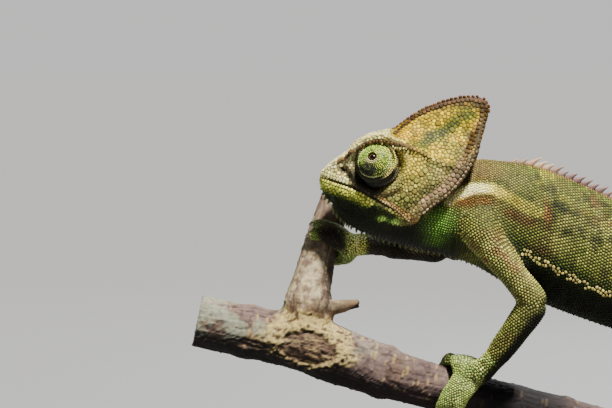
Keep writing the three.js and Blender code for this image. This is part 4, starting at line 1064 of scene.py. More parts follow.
    # tail
    t = part == TAIL_ID
    if t.any():
        s = tail_s(P[t])
        ct = np.tile(np.array([118.0, 120, 48]), (t.sum(), 1))
        band = ss(np.sin(s * 0.36 + 1.5 * n1[t]), 0.0, 0.8)
        ct = mix(ct, (182, 170, 90), band * 0.75)
        ct = mix(ct, (70, 66, 34), ss(np.sin(s * 0.36 + 3.3 + 1.5 * n1[t]), 0.5, 1) * 0.7)
        ct = mix(ct, (144, 88, 52), ss(n2[t], 0.62, 0.8) * 0.5)
        c[t] = ct
    # limbs
    li = np.isin(part, [NAMES.index(k) for k in LIMBS])
    cl = np.tile(np.array([188.0, 182, 120]), (n, 1))
    cl = mix(cl, (214, 202, 140), ss(n1, 0.5, 0.75) * 0.75)
    cl = mix(cl, (134, 146, 84), ss(1 - n1, 0.5, 0.75) * 0.6)
    cl = mix(cl, (158, 118, 84), ss(cloud(P, 3.8, 83), 0.58, 0.72) * 0.6)
    # painted shade on the sides of the limbs that face down and back
    cl = mix(cl, (46, 50, 24), ss(N @ unit(np.array([0.7, 0.2, -0.62])), 0.1, 0.65) * 0.75)
    for bx, bz, rx, rz in ((52.0, 41.6, 2.2, 1.2), (54.8, 38.6, 2.0, 1.1), (50.4, 46.0, 1.8, 1.0)):
        cl = mix(cl, (176, 128, 96), blob(P, bx, bz, rx, rz, -0.7) * (part == NAMES.index("arm_left")) * 0.75)
    cl = mix(cl, (118, 120, 58), ss(z, 44, 51) * ss(-y, 0, 3) * 0.75)
    cl = mix(cl, (116, 120, 62), (1 - ss(z, 24, 30)) * ss(z, 10, 14) * 0.6)
    # painted shade along the near forearm's lower right side
    cl = mix(cl, (28, 30, 15), ss(N @ unit(np.array([0.8, -0.08, -0.58])), 0.08, 0.42) * (part == NAMES.index("arm_left")) * (1 - ss(z - 0.4 * (x - 60), 25, 29)) * 0.88)
    # painted shade: the far arm is dark brown from x 17 mm back
    cl = mix(cl, (46, 36, 22), (part == NAMES.index("arm_right")) * (1 - ss(x, 40, 52)) * ss(x, 16.5, 18.5) * 0.93)
    # painted highlight: a bright yellow patch on the far palm
    cl = mix(cl, (255, 244, 150), (part == NAMES.index("arm_right")) * blob(P, 15.4, 42.2, 3.0, 3.2))
    c = np.where(li[:, None], cl, c)
    fo = np.isin(part, FOOT_IDS)
    cf = np.tile(np.array([202.0, 216, 148]), (n, 1))
    cf = mix(cf, (156, 178, 98), ss(n2, 0.45, 0.75) * 0.7)
    far = part == NAMES.index("hand_right")
    # painted shade on the far hand's toes that wrap the near side of the fork
    cf = mix(cf, (46, 36, 38), far * (1 - ss(y, 2.0, 5.0)) * ss(x, 3.5, 6.5) * (1 - ss(x, 11.5, 13.0)) * 0.9)
    # painted shade on the far wrist
    cf = mix(cf, (46, 36, 22), far * ss(x, 17.0, 19.0) * 0.93)
    # painted shade along the near hand's wrist on its lower right side
    cf = mix(cf, (24, 27, 13), ss(N @ unit(np.array([0.84, -0.05, -0.54])), 0.15, 0.5) * (part == NAMES.index("hand_left")) * ss(z, 3.5, 6.5) * ss(x, 46, 48.5) * 0.85)
    # painted highlight: a bright yellow patch on the far palm
    cf = mix(cf, (255, 244, 150), far * blob(P, 15.4, 42.2, 2.6, 3.2))
    c = np.where(fo[:, None], cf, c)
    # head
    h = part == HEAD_ID
    if h.any():
        Ph, nn1, nn2, nn3, Nh = P[h], n1[h], n2[h], n3[h], N[h]
        u, v = head_uv(Ph)
        vr, vm, vt, vs = ridgeV(u), mouthV(u), crownV(u), slitV(u)
        f = (v - vr) / np.maximum(vt - vr, 1e-3)
        d = np.hypot(u - EYE["u"], v - EYE["v"])
        edge = outline_distance(u, v)
        side = ss(np.abs(Ph[:, 1]), 2, 4)
        ch = np.tile(np.array([196.0, 186, 124]), (len(Ph), 1))
        ch = mix(ch, (136, 142, 92), ss(nn2, 0.5, 0.75) * 0.7)
        ch = mix(ch, (246, 224, 104), blob(Ph, *head_at(21.5, 0, 11.5)[[0, 2]], 3.4, 5.0) * 0.95)
        ch = mix(ch, (172, 178, 96), blob(Ph, *head_at(24, 0, 0.5)[[0, 2]], 5.0, 2.4) * 0.5)
        ch = mix(ch, (86, 90, 44), blob(Ph, *head_at(25.5, 0, 0.8)[[0, 2]], 4.6, 3.8) * (0.72 + 0.28 * ss(nn2, 0.4, 0.6)))
        ch = mix(ch, (84, 78, 42), blob(Ph, 39.0, 64.4, 2.6, 2.0, -0.4) * (0.5 + 0.4 * ss(nn2, 0.4, 0.6)))
        up = ss(v - vr, -0.2, 1.0)
        cas = np.tile(np.array([196.0, 170, 40]), (len(Ph), 1))
        cas = mix(cas, (146, 140, 42), ss(noise(Ph, 3.0, 211), 0.4, 0.8) * 0.7)
        band = np.exp(-(((v - 1.13 * u + 7.1) / 3.1) ** 2)) * ss(u, 18, 21)
        cas = mix(cas, (84, 92, 36), ss(nn2 + 0.36 * band, 0.56, 0.8) * (0.32 + 0.68 * band) * 0.95)
        cas = mix(cas, (204, 154, 58), blob(Ph, *head_at(17.5, 0, 17.8)[[0, 2]], 3.4, 1.8) * 0.5)
        cas = mix(cas, (148, 104, 78), ss(f, 0.87, 0.95) * ss(u, 12, 15))
        cas = mix(cas, (84, 64, 40), ss(f, 0.78, 0.86) * (1 - ss(f, 0.9, 0.94)) * ss(u, 14, 17) * 0.75)
        ch = ch + (cas - ch) * up[:, None]
        ch = mix(ch, (224, 224, 200), ss(v - vt + 2.6, 0, 1.6) * (1 - ss(u, 12, 14.5)) * 0.8)
        front = 1 - ss(u, 8, 12)
        ch = mix(ch, (250, 242, 190), front * ss(v - vs, 0.5, 3) * 0.9)
        ch = mix(ch, (178, 166, 108), front * ss(nn2, 0.5, 0.75) * 0.6 * (1 - ss(v, 3, 6)))
        rim = (1 - ss(edge, 2.9, 3.8)) * side * ss(v, 2, 4)
        ch = ch + (lerp(np.array([204.0, 186, 160]), np.array([138.0, 116, 66]), ss(v, 15, 24)[:, None]) - ch) * rim[:, None]
        ch = mix(ch, (158, 138, 106), (1 - ss(edge, 3.4, 5.4)) * side * 0.6)
        ch = mix(ch, (96, 98, 62), ss(noise(Ph, 2.4, 219), 0.45, 0.7) * np.exp(-(((edge - 4.6) / 1.2) ** 2)) * side * 0.6 * ss(v, 3, 6))
        lip = np.exp(-(((v - vs - 0.9) / 0.7) ** 2)) * (1 - ss(u, 12, 17))
        ch = mix(ch, (246, 236, 186), lip * 0.9)
        below = ss(vs - v, 0.2, 1.2)
        jaw = np.tile(np.array([236.0, 246, 124]), (len(Ph), 1))
        jaw = mix(jaw, (196, 206, 96), ss(nn2, 0.5, 0.75) * 0.6)
        # painted shade: the jaw darkens through dark green to near black towards its underside
        jaw = mix(jaw, (110, 132, 52), ss(vs - v, 2.5, 3.5))
        jaw = mix(jaw, (22, 30, 10), ss(vs - v, 3.5, 4.9) * 0.96)
        jaw = mix(jaw, (30, 42, 14), ss(vs - v - lerp(3.4, 0.3, ss(u, 12.5, 17)), -0.2, 0.9) * (1 - ss(u, 25.8, 27.2)) * 0.93)
        ch = ch + (jaw - ch) * (below * (1 - ss(u, 21, 24)))[:, None]
        ch = mix(ch, (196, 250, 140), np.clip(1.5 * (blob(Ph, 21.3, 50.4, 1.3, 0.9) + blob(Ph, 24.7, 49.8, 1.2, 0.8)), 0, 1) * side)
        corner = polyline_distance(Ph, [(20.7, 55.6), (23.3, 54.0), (25.6, 52.8), (28.4, 51.0), (30.0, 50.0)])
        ch = mix(ch, (196, 158, 112), (1 - ss(corner, 0.5, 1.3)) * 0.75 * side)
        ch = mix(ch, (84, 80, 44), (1 - ss(d, 6.2, 7.2)) * (v < vr) * 0.6 * (1 - ss(u - EYE["u"], 2, 4)))
        # painted shadow of the eye turret on the cheek below the eye
        ch = mix(ch, (26, 20, 12), (1 - ss(d, 7.6, 9.4)) * ss(EYE["v"] - v, 2.0, 5.0) * (1 - 0.85 * ss(u - EYE["u"], 1.0, 4.0)) * 0.9)
        ch = mix(ch, (214, 196, 110), np.exp(-(((d - 6.3) / 0.5) ** 2)) * ss(v - EYE["v"], 2, 4) * 0.8)
        ch = mix(ch, (58, 60, 32), ss(Nh @ np.array([CP, 0, -SP]), 0.5, 0.85) * 0.85)
        slit = np.exp(-(((v - vs) / 0.34) ** 2)) * ss(u, 0.3, 1.0) * (1 - ss(u, 18.5, 21)) * side
        ch = mix(ch, (30, 24, 16), slit)
        nose = np.hypot((u - 5.1) * 0.8, v - 3.9)
        ch = mix(ch, (46, 30, 18), 1 - ss(nose, 0.5, 0.95))
        k = kind[h]
        ch = np.where((k == 1)[:, None], lerp(np.array([126.0, 98, 76]), np.array([196.0, 168, 104]), ss(u, 16, 24)[:, None]), ch)
        ch = np.where((k == 2)[:, None], mix(ch, (200, 184, 116), np.full(len(k), 0.5)), ch)
        ch = np.where((k == 5)[:, None], np.array([136.0, 94, 64]), ch)
        ch = np.where((k == 6)[:, None], np.array([90.0, 66, 44]), ch)
        plate = mix(np.tile(np.array([170.0, 138, 122]), (len(k), 1)), (112, 102, 82), ss(noise(Ph, 1.2, 233), 0.5, 0.62) * 0.85)
        ch = np.where((k == 7)[:, None], plate + (np.array([96.0, 72, 42]) - plate) * ss(v, 15, 24)[:, None], ch)
        ch = np.where((k == 9)[:, None], mix(ch, (102, 108, 60), np.full(len(k), 0.42)), ch)
        ch = np.where((k == 10)[:, None], lerp(np.array([226.0, 196, 150]), ch, 0.55 * ss(u, 21, 25)[:, None]), ch)
        ch = np.where((k == 11)[:, None], lerp(np.array([180.0, 140, 92]), ch, 0.4), ch)
        ch = np.where((k == 12)[:, None], np.array([250.0, 236, 166]), ch)
        c[h] = ch
    c = np.where((kind == 8)[:, None], np.array([226.0, 206, 150]), c)
    return np.clip(c, 4, 250)


SATURATE = 1.12


def rich(c):
    """Display colours to the colour the surface is given, a little fuller, since the view softens them."""
    c = linear(c)
    grey = c.mean(1, keepdims=True)
    return np.clip((grey + (c - grey) * SATURATE) * [1.0, 0.98, 0.78], 0.002, 0.95)


def linear(c):
    c = c / 255.0
    return np.where(c <= 0.04045, c / 12.92, ((c + 0.055) / 1.055) ** 2.4)


# ------------------------------------------------------------------ materials
DIM = 0.56  # every surface of the model is this much darker, and the key that much stronger


def material(name, rough=0.5, attribute="Col", grain=1400.0, grain_amount=0.25, bump=0.15, bump_scale=2600.0, bump_size=0.0001, spec=0.5, coat=0.0, coat_rough=0.1, metal=0.0, colour=None, sub=0.0):
    m = bpy.data.materials.new(name)
    m.use_nodes = True
    nt = m.node_tree
    bsdf = nt.nodes["Principled BSDF"]
    bsdf.inputs["Roughness"].default_value = rough
    bsdf.inputs["Specular IOR Level"].default_value = spec
    bsdf.inputs["Metallic"].default_value = metal
    bsdf.inputs["Coat Weight"].default_value = coat
    bsdf.inputs["Coat Roughness"].default_value = coat_rough
    if sub:
        bsdf.inputs["Subsurface Weight"].default_value = sub
        bsdf.inputs["Subsurface Radius"].default_value = (0.0008, 0.0006, 0.0003)
        bsdf.inputs["Subsurface Scale"].default_value = 1.0
    coord = nt.nodes.new("ShaderNodeTexCoord")
    tex = nt.nodes.new("ShaderNodeTexNoise")
    tex.inputs["Scale"].default_value = grain
    tex.inputs["Detail"].default_value = 3.0
    nt.links.new(coord.outputs["Object"], tex.inputs["Vector"])
    ramp = nt.nodes.new("ShaderNodeMapRange")
    ramp.inputs["From Min"].default_value = 0.3
    ramp.inputs["From Max"].default_value = 0.7
    ramp.inputs["To Min"].default_value = (1 - grain_amount) * DIM
    ramp.inputs["To Max"].default_value = (1 + grain_amount * 0.6) * DIM
    nt.links.new(tex.outputs["Fac"], ramp.inputs["Value"])
    mul = nt.nodes.new("ShaderNodeVectorMath")
    mul.operation = "SCALE"
    if colour is None:
        at = nt.nodes.new("ShaderNodeAttribute")
        at.attribute_name = attribute
        nt.links.new(at.outputs["Color"], mul.inputs[0])
    else:
        mul.inputs[0].default_value = colour
    nt.links.new(ramp.outputs["Result"], mul.inputs["Scale"])
    nt.links.new(mul.outputs["Vector"], bsdf.inputs["Base Color"])
    tex2 = nt.nodes.new("ShaderNodeTexNoise")
    tex2.inputs["Scale"].default_value = bump_scale
    tex2.inputs["Detail"].default_value = 4.0
    nt.links.new(coord.outputs["Object"], tex2.inputs["Vector"])
    bn = nt.nodes.new("ShaderNodeBump")
    bn.inputs["Strength"].default_value = bump
    bn.inputs["Distance"].default_value = bump_size
    nt.links.new(tex2.outputs["Fac"], bn.inputs["Height"])
    nt.links.new(bn.outputs["Normal"], bsdf.inputs["Normal"])
    rr = nt.nodes.new("ShaderNodeMapRange")
    rr.inputs["To Min"].default_value = max(rough - 0.1, 0.02)
    rr.inputs["To Max"].default_value = min(rough + 0.12, 1)
    nt.links.new(tex.outputs["Fac"], rr.inputs["Value"])
    nt.links.new(rr.outputs["Result"], bsdf.inputs["Roughness"])
    return m


def piece(name, V, F, mat, colour=None, uv=None, replaces=(), flat=False):
    me = bare_mesh(name, to_frame(V), F)
    me.polygons.foreach_set("use_smooth", np.full(len(F), not flat))
    if colour is not None:
        at = me.color_attributes.new("Col", "FLOAT_COLOR", "POINT")
        rgba = np.ones((len(V), 4), np.float32)
        rgba[:, :3] = colour
        at.data.foreach_set("color", rgba.ravel())
    if uv is not None:
        layer = me.uv_layers.new(name="OFBake")
        layer.data.foreach_set("uv", np.ascontiguousarray(uv[F.ravel()], np.float32).ravel())
    me.materials.append(mat)
    ob = bpy.data.objects.new(name, me)
    bpy.context.scene.collection.objects.link(ob)
    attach(ob, "root")
    if replaces:
        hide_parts(*replaces)
    return ob


SCALE_MAT = material("reptile_scales", rough=0.52, grain=1900, grain_amount=0.22, bump=0.25, bump_scale=5200, bump_size=0.00008, spec=0.18)
SKIN_MAT = material("reptile_skin", rough=0.7, grain=2600, grain_amount=0.3, bump=0.4, bump_scale=3800, bump_size=0.0001, spec=0.3)

# ------------------------------------------------------------------ the skin
skin_tone = np.full(len(SKIN_V), 0.22)
u_, v_ = head_uv(SKIN_V)
skin_tone = lerp(skin_tone, 0.4, w_head)
skin_tone = lerp(skin_tone, lerp(0.85, 0.2, ss(v_, 7, 13)), w_head * (1 - ss(outline_distance(u_, v_), 2.8, 3.4)) * ss(np.abs(SKIN_V[:, 1]), lerp(3.0, 0.5, ss(v_, 7, 13)), lerp(5.0, 1.5, ss(v_, 7, 13))))
skin_tone = lerp(skin_tone, 1.25, stripe_amount(SKIN_V) * (LABEL == BODY_ID) * (1 - 0.8 * ss(SKIN_V[:, 0], 48, 56)))
skin_colour = rich(paint(SKIN_V, NORMAL, LABEL)) * skin_tone[:, None]
FLESH = [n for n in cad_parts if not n.startswith(("stand_", "perch_", "eye")) and "claw" not in n]
skin = piece("skin", SKIN_V, SKIN_F, SKIN_MAT, skin_colour, replaces=FLESH)
bpy.context.view_layer.objects.active = skin
skin.select_set(True)
skin.data.uv_layers.new(name="OFBake")
bpy.ops.object.mode_set(mode="EDIT")
bpy.ops.mesh.select_all(action="SELECT")
bpy.ops.uv.smart_project(angle_limit=1.15, island_margin=0.001)
bpy.ops.object.mode_set(mode="OBJECT")
skin.select_set(False)
uv = np.empty(2 * len(skin.data.loops), np.float32)
skin.data.uv_layers["OFBake"].data.foreach_get("uv", uv)
FACE_UV = uv.reshape(-1, 3, 2).mean(1)
note("skin piece")


# ------------------------------------------------------------------ scales as solid plates
def frames(N, ref=(1, 0, 0)):
    ref = np.broadcast_to(np.array(ref, float), N.shape).copy()
    bad = np.abs((N * ref).sum(1)) > 0.95
    ref[bad] = (0, 0, 1)
    e1 = unit(ref - N * (N * ref).sum(1, keepdims=True))
    return e1, np.cross(N, e1)


near = neighbours(P, 11)
e1, e2 = frames(N)
D = P[near] - P[:, None]
dx, dy = (D * e1[:, None]).sum(2), (D * e2[:, None]).sum(2)
d2 = dx * dx + dy * dy
w = R[:, None] / (R[:, None] + R[near])


u_, v_ = head_uv(P)
ON_LIMB = np.isin(PART, [NAMES.index(k) for k in LIMBS])
GAP_MORE = 0.07 * (KIND == 7) + 0.045 * ((PART == HEAD_ID) & (v_ < ridgeV(u_)) & (KIND != 7)) + 0.085 * ((PART == BODY_ID) & (P[:, 0] < 60)) + 0.055 * ((PART == BODY_ID) & (P[:, 0] >= 60)) + 0.045 * ON_LIMB
GAP_MORE = GAP_MORE * (1 - stripe_amount(P) * (PART == BODY_ID) * (1 - 0.8 * ss(P[:, 0], 48, 56)))


def outline(M, turn, sharp=9.0, cap=1.35, gap=0.035):
    out = np.empty((len(P), M))
    for m in range(M):
        a = 2 * math.pi * m / M + turn
        ca, sa = np.cos(a)[:, None], np.sin(a)[:, None]
        pr = dx * ca + dy * sa
        r = np.where(pr > 1e-4, d2 * w / np.maximum(pr, 1e-4), 1e3)
        r = np.minimum(r, (cap * R)[:, None])
        out[:, m] = (r ** -sharp).sum(1) ** (-1 / sharp)
    return np.maximum(out - (gap + GAP_MORE)[:, None], 0.12)


TURN = RNG.random(len(P)) * 2 * math.pi
COLOUR = rich(paint(P, N, PART, KIND))
vary = np.exp(RNG.normal(0, 1, len(P)) * np.where(KIND == 7, 0.34, np.where(PART == HEAD_ID, 0.34, 0.3)))[:, None]
tint = np.exp(RNG.normal(0, 0.05, (len(P), 3)))
STRIPE = stripe_amount(P) * (PART == BODY_ID)
u_, v_ = head_uv(P)
lift = 0.13 * (PART == HEAD_ID) + 0.46 * (PART == HEAD_ID) * (1 - ss(u_, 10, 18)) * ss(v_ - slitV(u_), -2.6, -1.8) * (1 - ss(v_ - slitV(u_), 3, 6))
# painted highlight: extra brightness for the yellow patch on the far palm
lift += 1.1 * blob(P, 15.4, 42.2, 3.0, 3.2) * (P[:, 1] > 3)
lift += 0.2 * ((PART == HEAD_ID) & (v_ > ridgeV(u_))) * (1 - ss(u_, 12, 15)) + 0.12 * ((PART == HEAD_ID) & (v_ > ridgeV(u_)) & (u_ > 15) & (KIND == 0))
lift += 0.4 * (PART == HEAD_ID) * (u_ < 19) * ss(v_ - slitV(u_), -2.2, -1.8) * (1 - ss(v_ - slitV(u_), 1.2, 1.8))
lift += 0.22 * (PART == NAMES.index("arm_left")) * ss(P[:, 2], 33, 38) + 0.14 * (PART == NAMES.index("hand_left"))
lift += 0.9 * (PART == HEAD_ID) * (blob(P, 21.3, 50.4, 1.3, 0.9) + blob(P, 24.7, 49.8, 1.2, 0.8))
lift += (PART == BODY_ID) * (0.26 + 0.08 * ss(P[:, 0], 60, 72)) + 0.2 * ON_LIMB + 0.1 * ((PART == HEAD_ID) & (v_ < ridgeV(u_)) & (u_ > 18) & (KIND != 7))
# small lighter and darker places of the coat, on both sides alike: x, z, width, height and gain; the darker places on
# the near forearm, wrist and hand and at the throat under the jaw are painted shade
PLACES = {
    "trunk": [(73.7, 58.9, 9, 3.6, 0.86), (79.5, 48.2, 6.5, 3.2, 1.3), (69.5, 43.0, 4.5, 2.0, 0.82), (78.0, 37.4, 5, 2.2, 0.7), (52.6, 48.4, 2.6, 2.0, 0.7), (47.0, 62.2, 3, 2, 0.92)],
    "hand": [(52.0, 10.8, 2.0, 2.4, 0.3), (49.8, 7.9, 1.9, 2.0, 0.35), (48.0, 5.6, 1.7, 1.8, 0.4)],
    "arm": [(58.8, 26.3, 2.6, 4.0, 0.5), (53.8, 13.6, 1.7, 3.0, 0.3), (52.0, 10.8, 2.0, 2.4, 0.3), (51.0, 41.6, 3.4, 3.4, 1.22), (52.6, 48.4, 2.4, 2.2, 0.75), (55.6, 36.0, 3.0, 2.4, 1.08)],
    "head": [(27.3, 49.4, 1.5, 1.2, 0.5), (12.8, 50.2, 5.0, 3.0, 0.5)],
}
gain = np.ones(len(P))
for who, rows in (("trunk", PART == BODY_ID), ("arm", PART == NAMES.index("arm_left")), ("hand", PART == NAMES.index("hand_left")), ("head", PART == HEAD_ID)):
    for x0, z0, w0, h0, g0 in PLACES[who]:
        gain *= 1 + (g0 - 1) * blob(P, x0, z0, w0, h0) * rows
# trunk and limbs are greener than the head
green = np.where(PART == HEAD_ID, 0.0, 1 - 0.85 * STRIPE)[:, None] * np.array([0.10, 0.0, 0.16])
casque = (PART == HEAD_ID) & (v_ > ridgeV(u_)) & (u_ > 15)
green += (casque * ss(u_, 15, 18))[:, None] * np.array([0.0, 0.0, 0.24])
gain *= 1 - 0.14 * casque * (1 - ss(outline_distance(u_, v_), 2.6, 4.0)) * ss(v_, 12, 16)
COLOUR = np.clip(COLOUR * vary * tint * (1 - green) * gain[:, None] * (1 + STRIPE * lerp(1.6, 0.5, ss(P[:, 0], 46, 56)) + lift)[:, None], 0, 1.7)
BASE = np.where((KIND == 7)[:, None], rich(lerp(np.array([[226.0, 210, 188]]), np.array([[112.0, 96, 56]]), ss(head_uv(P)[1], 15, 24)[:, None])), COLOUR * (np.where(PART == HEAD_ID, lerp(0.06, 0.2, ss(head_uv(P)[1] - ridgeV(head_uv(P)[0]), -0.5, 1.0)), np.where(np.isin(PART, FOOT_IDS), 0.16, 0.04)) + 0.8 * STRIPE * (1 - 0.8 * ss(P[:, 0], 48, 56)))[:, None])  # what shows between the plates
TILT = unit(N + 0.10 * RNG.normal(0, 1, N.shape))


def plates(pick, M, profile, sharp, cap, gap):
    """profile: (share of the outline, share of the height, tone) from the base up; then a centre point."""
    rr = outline(M, TURN, sharp, cap, gap)[pick]
    a = TURN[pick][:, None] + 2 * math.pi * np.arange(M)[None] / M
    E1, E2, n = e1[pick], e2[pick], TILT[pick]
    root, h = P[pick], H[pick]
    rings, cols, uvs = [], [], []
    base_uv = FACE_UV[tri[pick]]
    rmax = rr.max(1)
    for share, up, tone in profile:
        rad = rr * share
        lx, ly = rad * np.cos(a), rad * np.sin(a)
        z = np.full_like(rad, 0.0) + (h * up if up >= 0 else np.full(len(h), up))[:, None]
        flatn = N[pick] if up <= 0 else n
        rings.append(root[:, None] + E1[:, None] * lx[..., None] + E2[:, None] * ly[..., None] + flatn[:, None] * z[..., None])
        cols.append(np.repeat((lerp(BASE[pick], COLOUR[pick], tone))[:, None], M, 1))
        uvs.append(base_uv[:, None] + np.stack([lx, ly], -1) / rmax[:, None, None] * 0.0015)
    top = root + n * h[:, None]
    bot = root - N[pick] * 0.16
    V = np.concatenate(rings + [top[:, None], bot[:, None]], 1)
    C = np.concatenate(cols + [(COLOUR[pick] * 1.08)[:, None], BASE[pick][:, None]], 1)
    U = np.concatenate(uvs + [base_uv[:, None], base_uv[:, None]], 1)
    K = len(profile)
    m = np.arange(M)
    q = (m + 1) % M
    F = []
    for k in range(K - 1):
        A, B, C2, D2 = k * M + m, k * M + q, (k + 1) * M + q, (k + 1) * M + m
        F += [np.stack([A, B, C2], 1), np.stack([A, C2, D2], 1)]
    F.append(np.stack([(K - 1) * M + m, (K - 1) * M + q, np.full(M, K * M)], 1))
    F.append(np.stack([q, m, np.full(M, K * M + 1)], 1))
    F = np.vstack(F)
    per = K * M + 2
    allF = (F[None] + (np.arange(len(pick)) * per)[:, None, None]).reshape(-1, 3)
    return V.reshape(-1, 3), allF, C.reshape(-1, 3), U.reshape(-1, 2)


DOME = [(1.0, -0.12, 0.14), (0.86, 0.66, 0.92)]
# PLATE: each plate darkens towards its edge, tone 0.6 on the ring below its top, as painted shade round the plate
PLATE = [(1.0, -0.12, 0.2), (0.94, 0.56, 0.6), (0.72, 0.95, 1.0)]
HEAVY = (PART == HEAD_ID) | (KIND > 0)
REGIONS = {
    "scales_head": np.where(HEAVY & (PART == HEAD_ID))[0],
    "scales_flank_rows": np.where(HEAVY & (PART != HEAD_ID))[0],
    "scales_trunk": np.where(~HEAVY & (PART == BODY_ID))[0],
    "scales_tail": np.where(~HEAVY & (PART == TAIL_ID))[0],
    "scales_limbs": np.where(~HEAVY & ~np.isin(PART, [BODY_ID, TAIL_ID, HEAD_ID]))[0],
}
total = 0
for name, pick in REGIONS.items():
    if not len(pick):
        continue
    heavy = name in ("scales_head", "scales_flank_rows")
    M, prof, shape = (9, PLATE, (15.0, 1.5, 0.02)) if heavy else (7, DOME, (10.0, 1.4, 0.035))
    tris_each = M * 2 * (len(prof) - 1) + 2 * M
    chunk = 190000 // tris_each
    pick = pick[np.argsort(P[pick, 0], kind="stable")]
    n_chunks = int(math.ceil(len(pick) / chunk))
    for i in range(n_chunks):
        part_pick = pick[len(pick) * i // n_chunks : len(pick) * (i + 1) // n_chunks]
        V, F, C, U = plates(part_pick, M, prof, *shape)
        piece(f"{name}_{i + 1}" if n_chunks > 1 else name, V, F, SCALE_MAT, C, U, flat=heavy)
        total += len(F)
note(f"scale triangles {total}")


# ------------------------------------------------------------------ crests: cones along the back, chin and belly
def cones(root, axis, radius, height, colour, M=8, lean=0.0, back=(1, 0, 0)):
    n = len(root)
    e1, e2 = frames(axis)
    back = np.broadcast_to(np.array(back, float), axis.shape)
    a = 2 * math.pi * np.arange(M) / M
    prof = [(1.0, -0.5, 0.5), (0.82, 0.22, 0.85), (0.55, 0.55, 1.0), (0.3, 0.82, 1.05)]
    rings, cols = [], []
    for share, up, tone in prof:
        rad = radius * share
        off = back * (lean * height * max(up, 0) ** 1.6)[:, None]
        rings.append((root + axis * (height * up if up > 0 else np.full(n, up))[:, None] + off)[:, None] + e1[:, None] * (rad[:, None] * np.cos(a))[..., None] + e2[:, None] * (rad[:, None] * np.sin(a))[..., None] * 0.55)
        cols.append(np.repeat((colour * tone)[:, None], M, 1))
    top = root + axis * height[:, None] + back * (lean * height)[:, None]
    bot = root - axis * 0.6
    V = np.concatenate(rings + [top[:, None], bot[:, None]], 1)
    C = np.concatenate(cols + [(colour * 1.1)[:, None], (colour * 0.4)[:, None]], 1)
    K, m = len(prof), np.arange(M)
    q = (m + 1) % M
    F = []
    for k in range(K - 1):
        A, B, C2, D2 = k * M + m, k * M + q, (k + 1) * M + q, (k + 1) * M + m
        F += [np.stack([A, B, C2], 1), np.stack([A, C2, D2], 1)]
    F.append(np.stack([(K - 1) * M + m, (K - 1) * M + q, np.full(M, K * M)], 1))
    F.append(np.stack([q, m, np.full(M, K * M + 1)], 1))
    F = np.vstack(F)
    per = K * M + 2
    allF = (F[None] + (np.arange(n) * per)[:, None, None]).reshape(-1, 3)
    return V.reshape(-1, 3), allF, np.clip(C, 0, 1).reshape(-1, 3), per


def crest_piece(name, root, radius, height, colour, lean, upward):
    Q, Nn, tr, far = project(root)
    axis = unit(np.where(np.abs(upward) > 2, Nn, upward)) if upward is not None else Nn
    V, F, C, per = cones(Q, axis, radius, height, colour, lean=lean)
    U = np.repeat(FACE_UV[tr], per, 0) + np.tile(np.stack([np.cos(np.arange(per)), np.sin(np.arange(per))], 1) * 0.0014, (len(Q), 1))
    return V, F, C, U


def gather(items):
    Vs, Fs, Cs, Us, n = [], [], [], [], 0
    for V, F, C, U in items:
        Vs.append(V)
        Fs.append(F + n)
        Cs.append(C)
        Us.append(U)
        n += len(V)
    return np.vstack(Vs), np.vstack(Fs), np.vstack(Cs), np.vstack(Us)


def flat_normal(root, d):
    n = np.stack([-d[:, 2], np.zeros(len(d)), d[:, 0]], 1)
    return unit(n)


spines = []
# back
t = np.linspace(7.0, 18.0, 900)
r = trunk_at(t)
line = np.stack([r[:, 0], np.zeros(len(r)), r[:, 1] - COAT], 1)
pts = along(line, 2.15)
tt = np.interp(pts[:, 0], line[:, 0], t)
d = unit(np.gradient(pts, axis=0))
grow_in = ss(tt, 7.0, 8.6) * (1 - 0.5 * ss(tt, 12.5, 18))
hgt = (0.45 + 1.1 * grow_in) * np.exp(RNG.normal(0, 0.16, len(pts)))
rad = (0.6 + 0.78 * grow_in) * np.exp(RNG.normal(0, 0.07, len(pts)))
col = linear(np.clip(lerp(np.array([[150.0, 116, 112]]), np.array([[238.0, 196, 158]]), ss(noise(pts, 4.5, 231), 0.35, 0.7)[:, None]) + RNG.normal(0, 9, (len(pts), 1)), 0, 250))
spines.append(crest_piece("back", pts, rad, hgt, col, 1.5, flat_normal(pts, d)))
# tail, getting smaller
sv = np.linspace(0.5, 96, 500)
c = tail_path(sv)
dv = unit(np.gradient(c, axis=0))
upv = np.stack([-dv[:, 2], np.zeros(len(dv)), dv[:, 0]], 1)
line = c + upv * (tail_radius(sv) * 1.02 - 0.2)[:, None]
pts = along(line, 1.75)
ss_ = np.interp(np.arange(len(pts)), [0, len(pts) - 1], [0.5, 96])
up_i = unit(np.stack([np.interp(ss_, sv, upv[:, a]) for a in range(3)], 1))
k = 1 - ss(ss_, 10, 96)
col = linear(np.array([160.0, 136, 118]) + RNG.normal(0, 9, (len(pts), 1)))
spines.append(crest_piece("tail", pts, 0.3 + 0.22 * k, 0.35 + 0.75 * k, col, 0.45, up_i))
# chin and throat
us = np.linspace(1.3, 13.0, 300)
line = head_at(us, 0, chinV(us) + COAT)
pts = along(line, 1.25)
u_, v_ = head_uv(pts)
sl = (chinV(u_ + 0.2) - chinV(u_ - 0.2)) / 0.4
dn = unit(np.stack([sl * CP - SP, np.zeros(len(pts)), -(CP + sl * SP)], 1))
k = ss(u_, 1, 3.5) * (1 - 0.45 * ss(u_, 8, 13))
col = linear(np.array([128.0, 138, 82]) + RNG.normal(0, 8, (len(pts), 1)))
spines.append(crest_piece("chin", pts, 0.34 + 0.18 * k, 0.6 + 1.1 * k, col, 0.35, dn))
t = np.linspace(1.4, 17.0, 900)
r = trunk_at(t)
line = np.stack([r[:, 2], np.zeros(len(r)), r[:, 3] + COAT], 1)
pts = along(line, 1.5)
tt = np.interp(pts[:, 0], line[:, 0], t)
d = unit(np.gradient(pts, axis=0))
k = 1 - ss(tt, 3, 8)
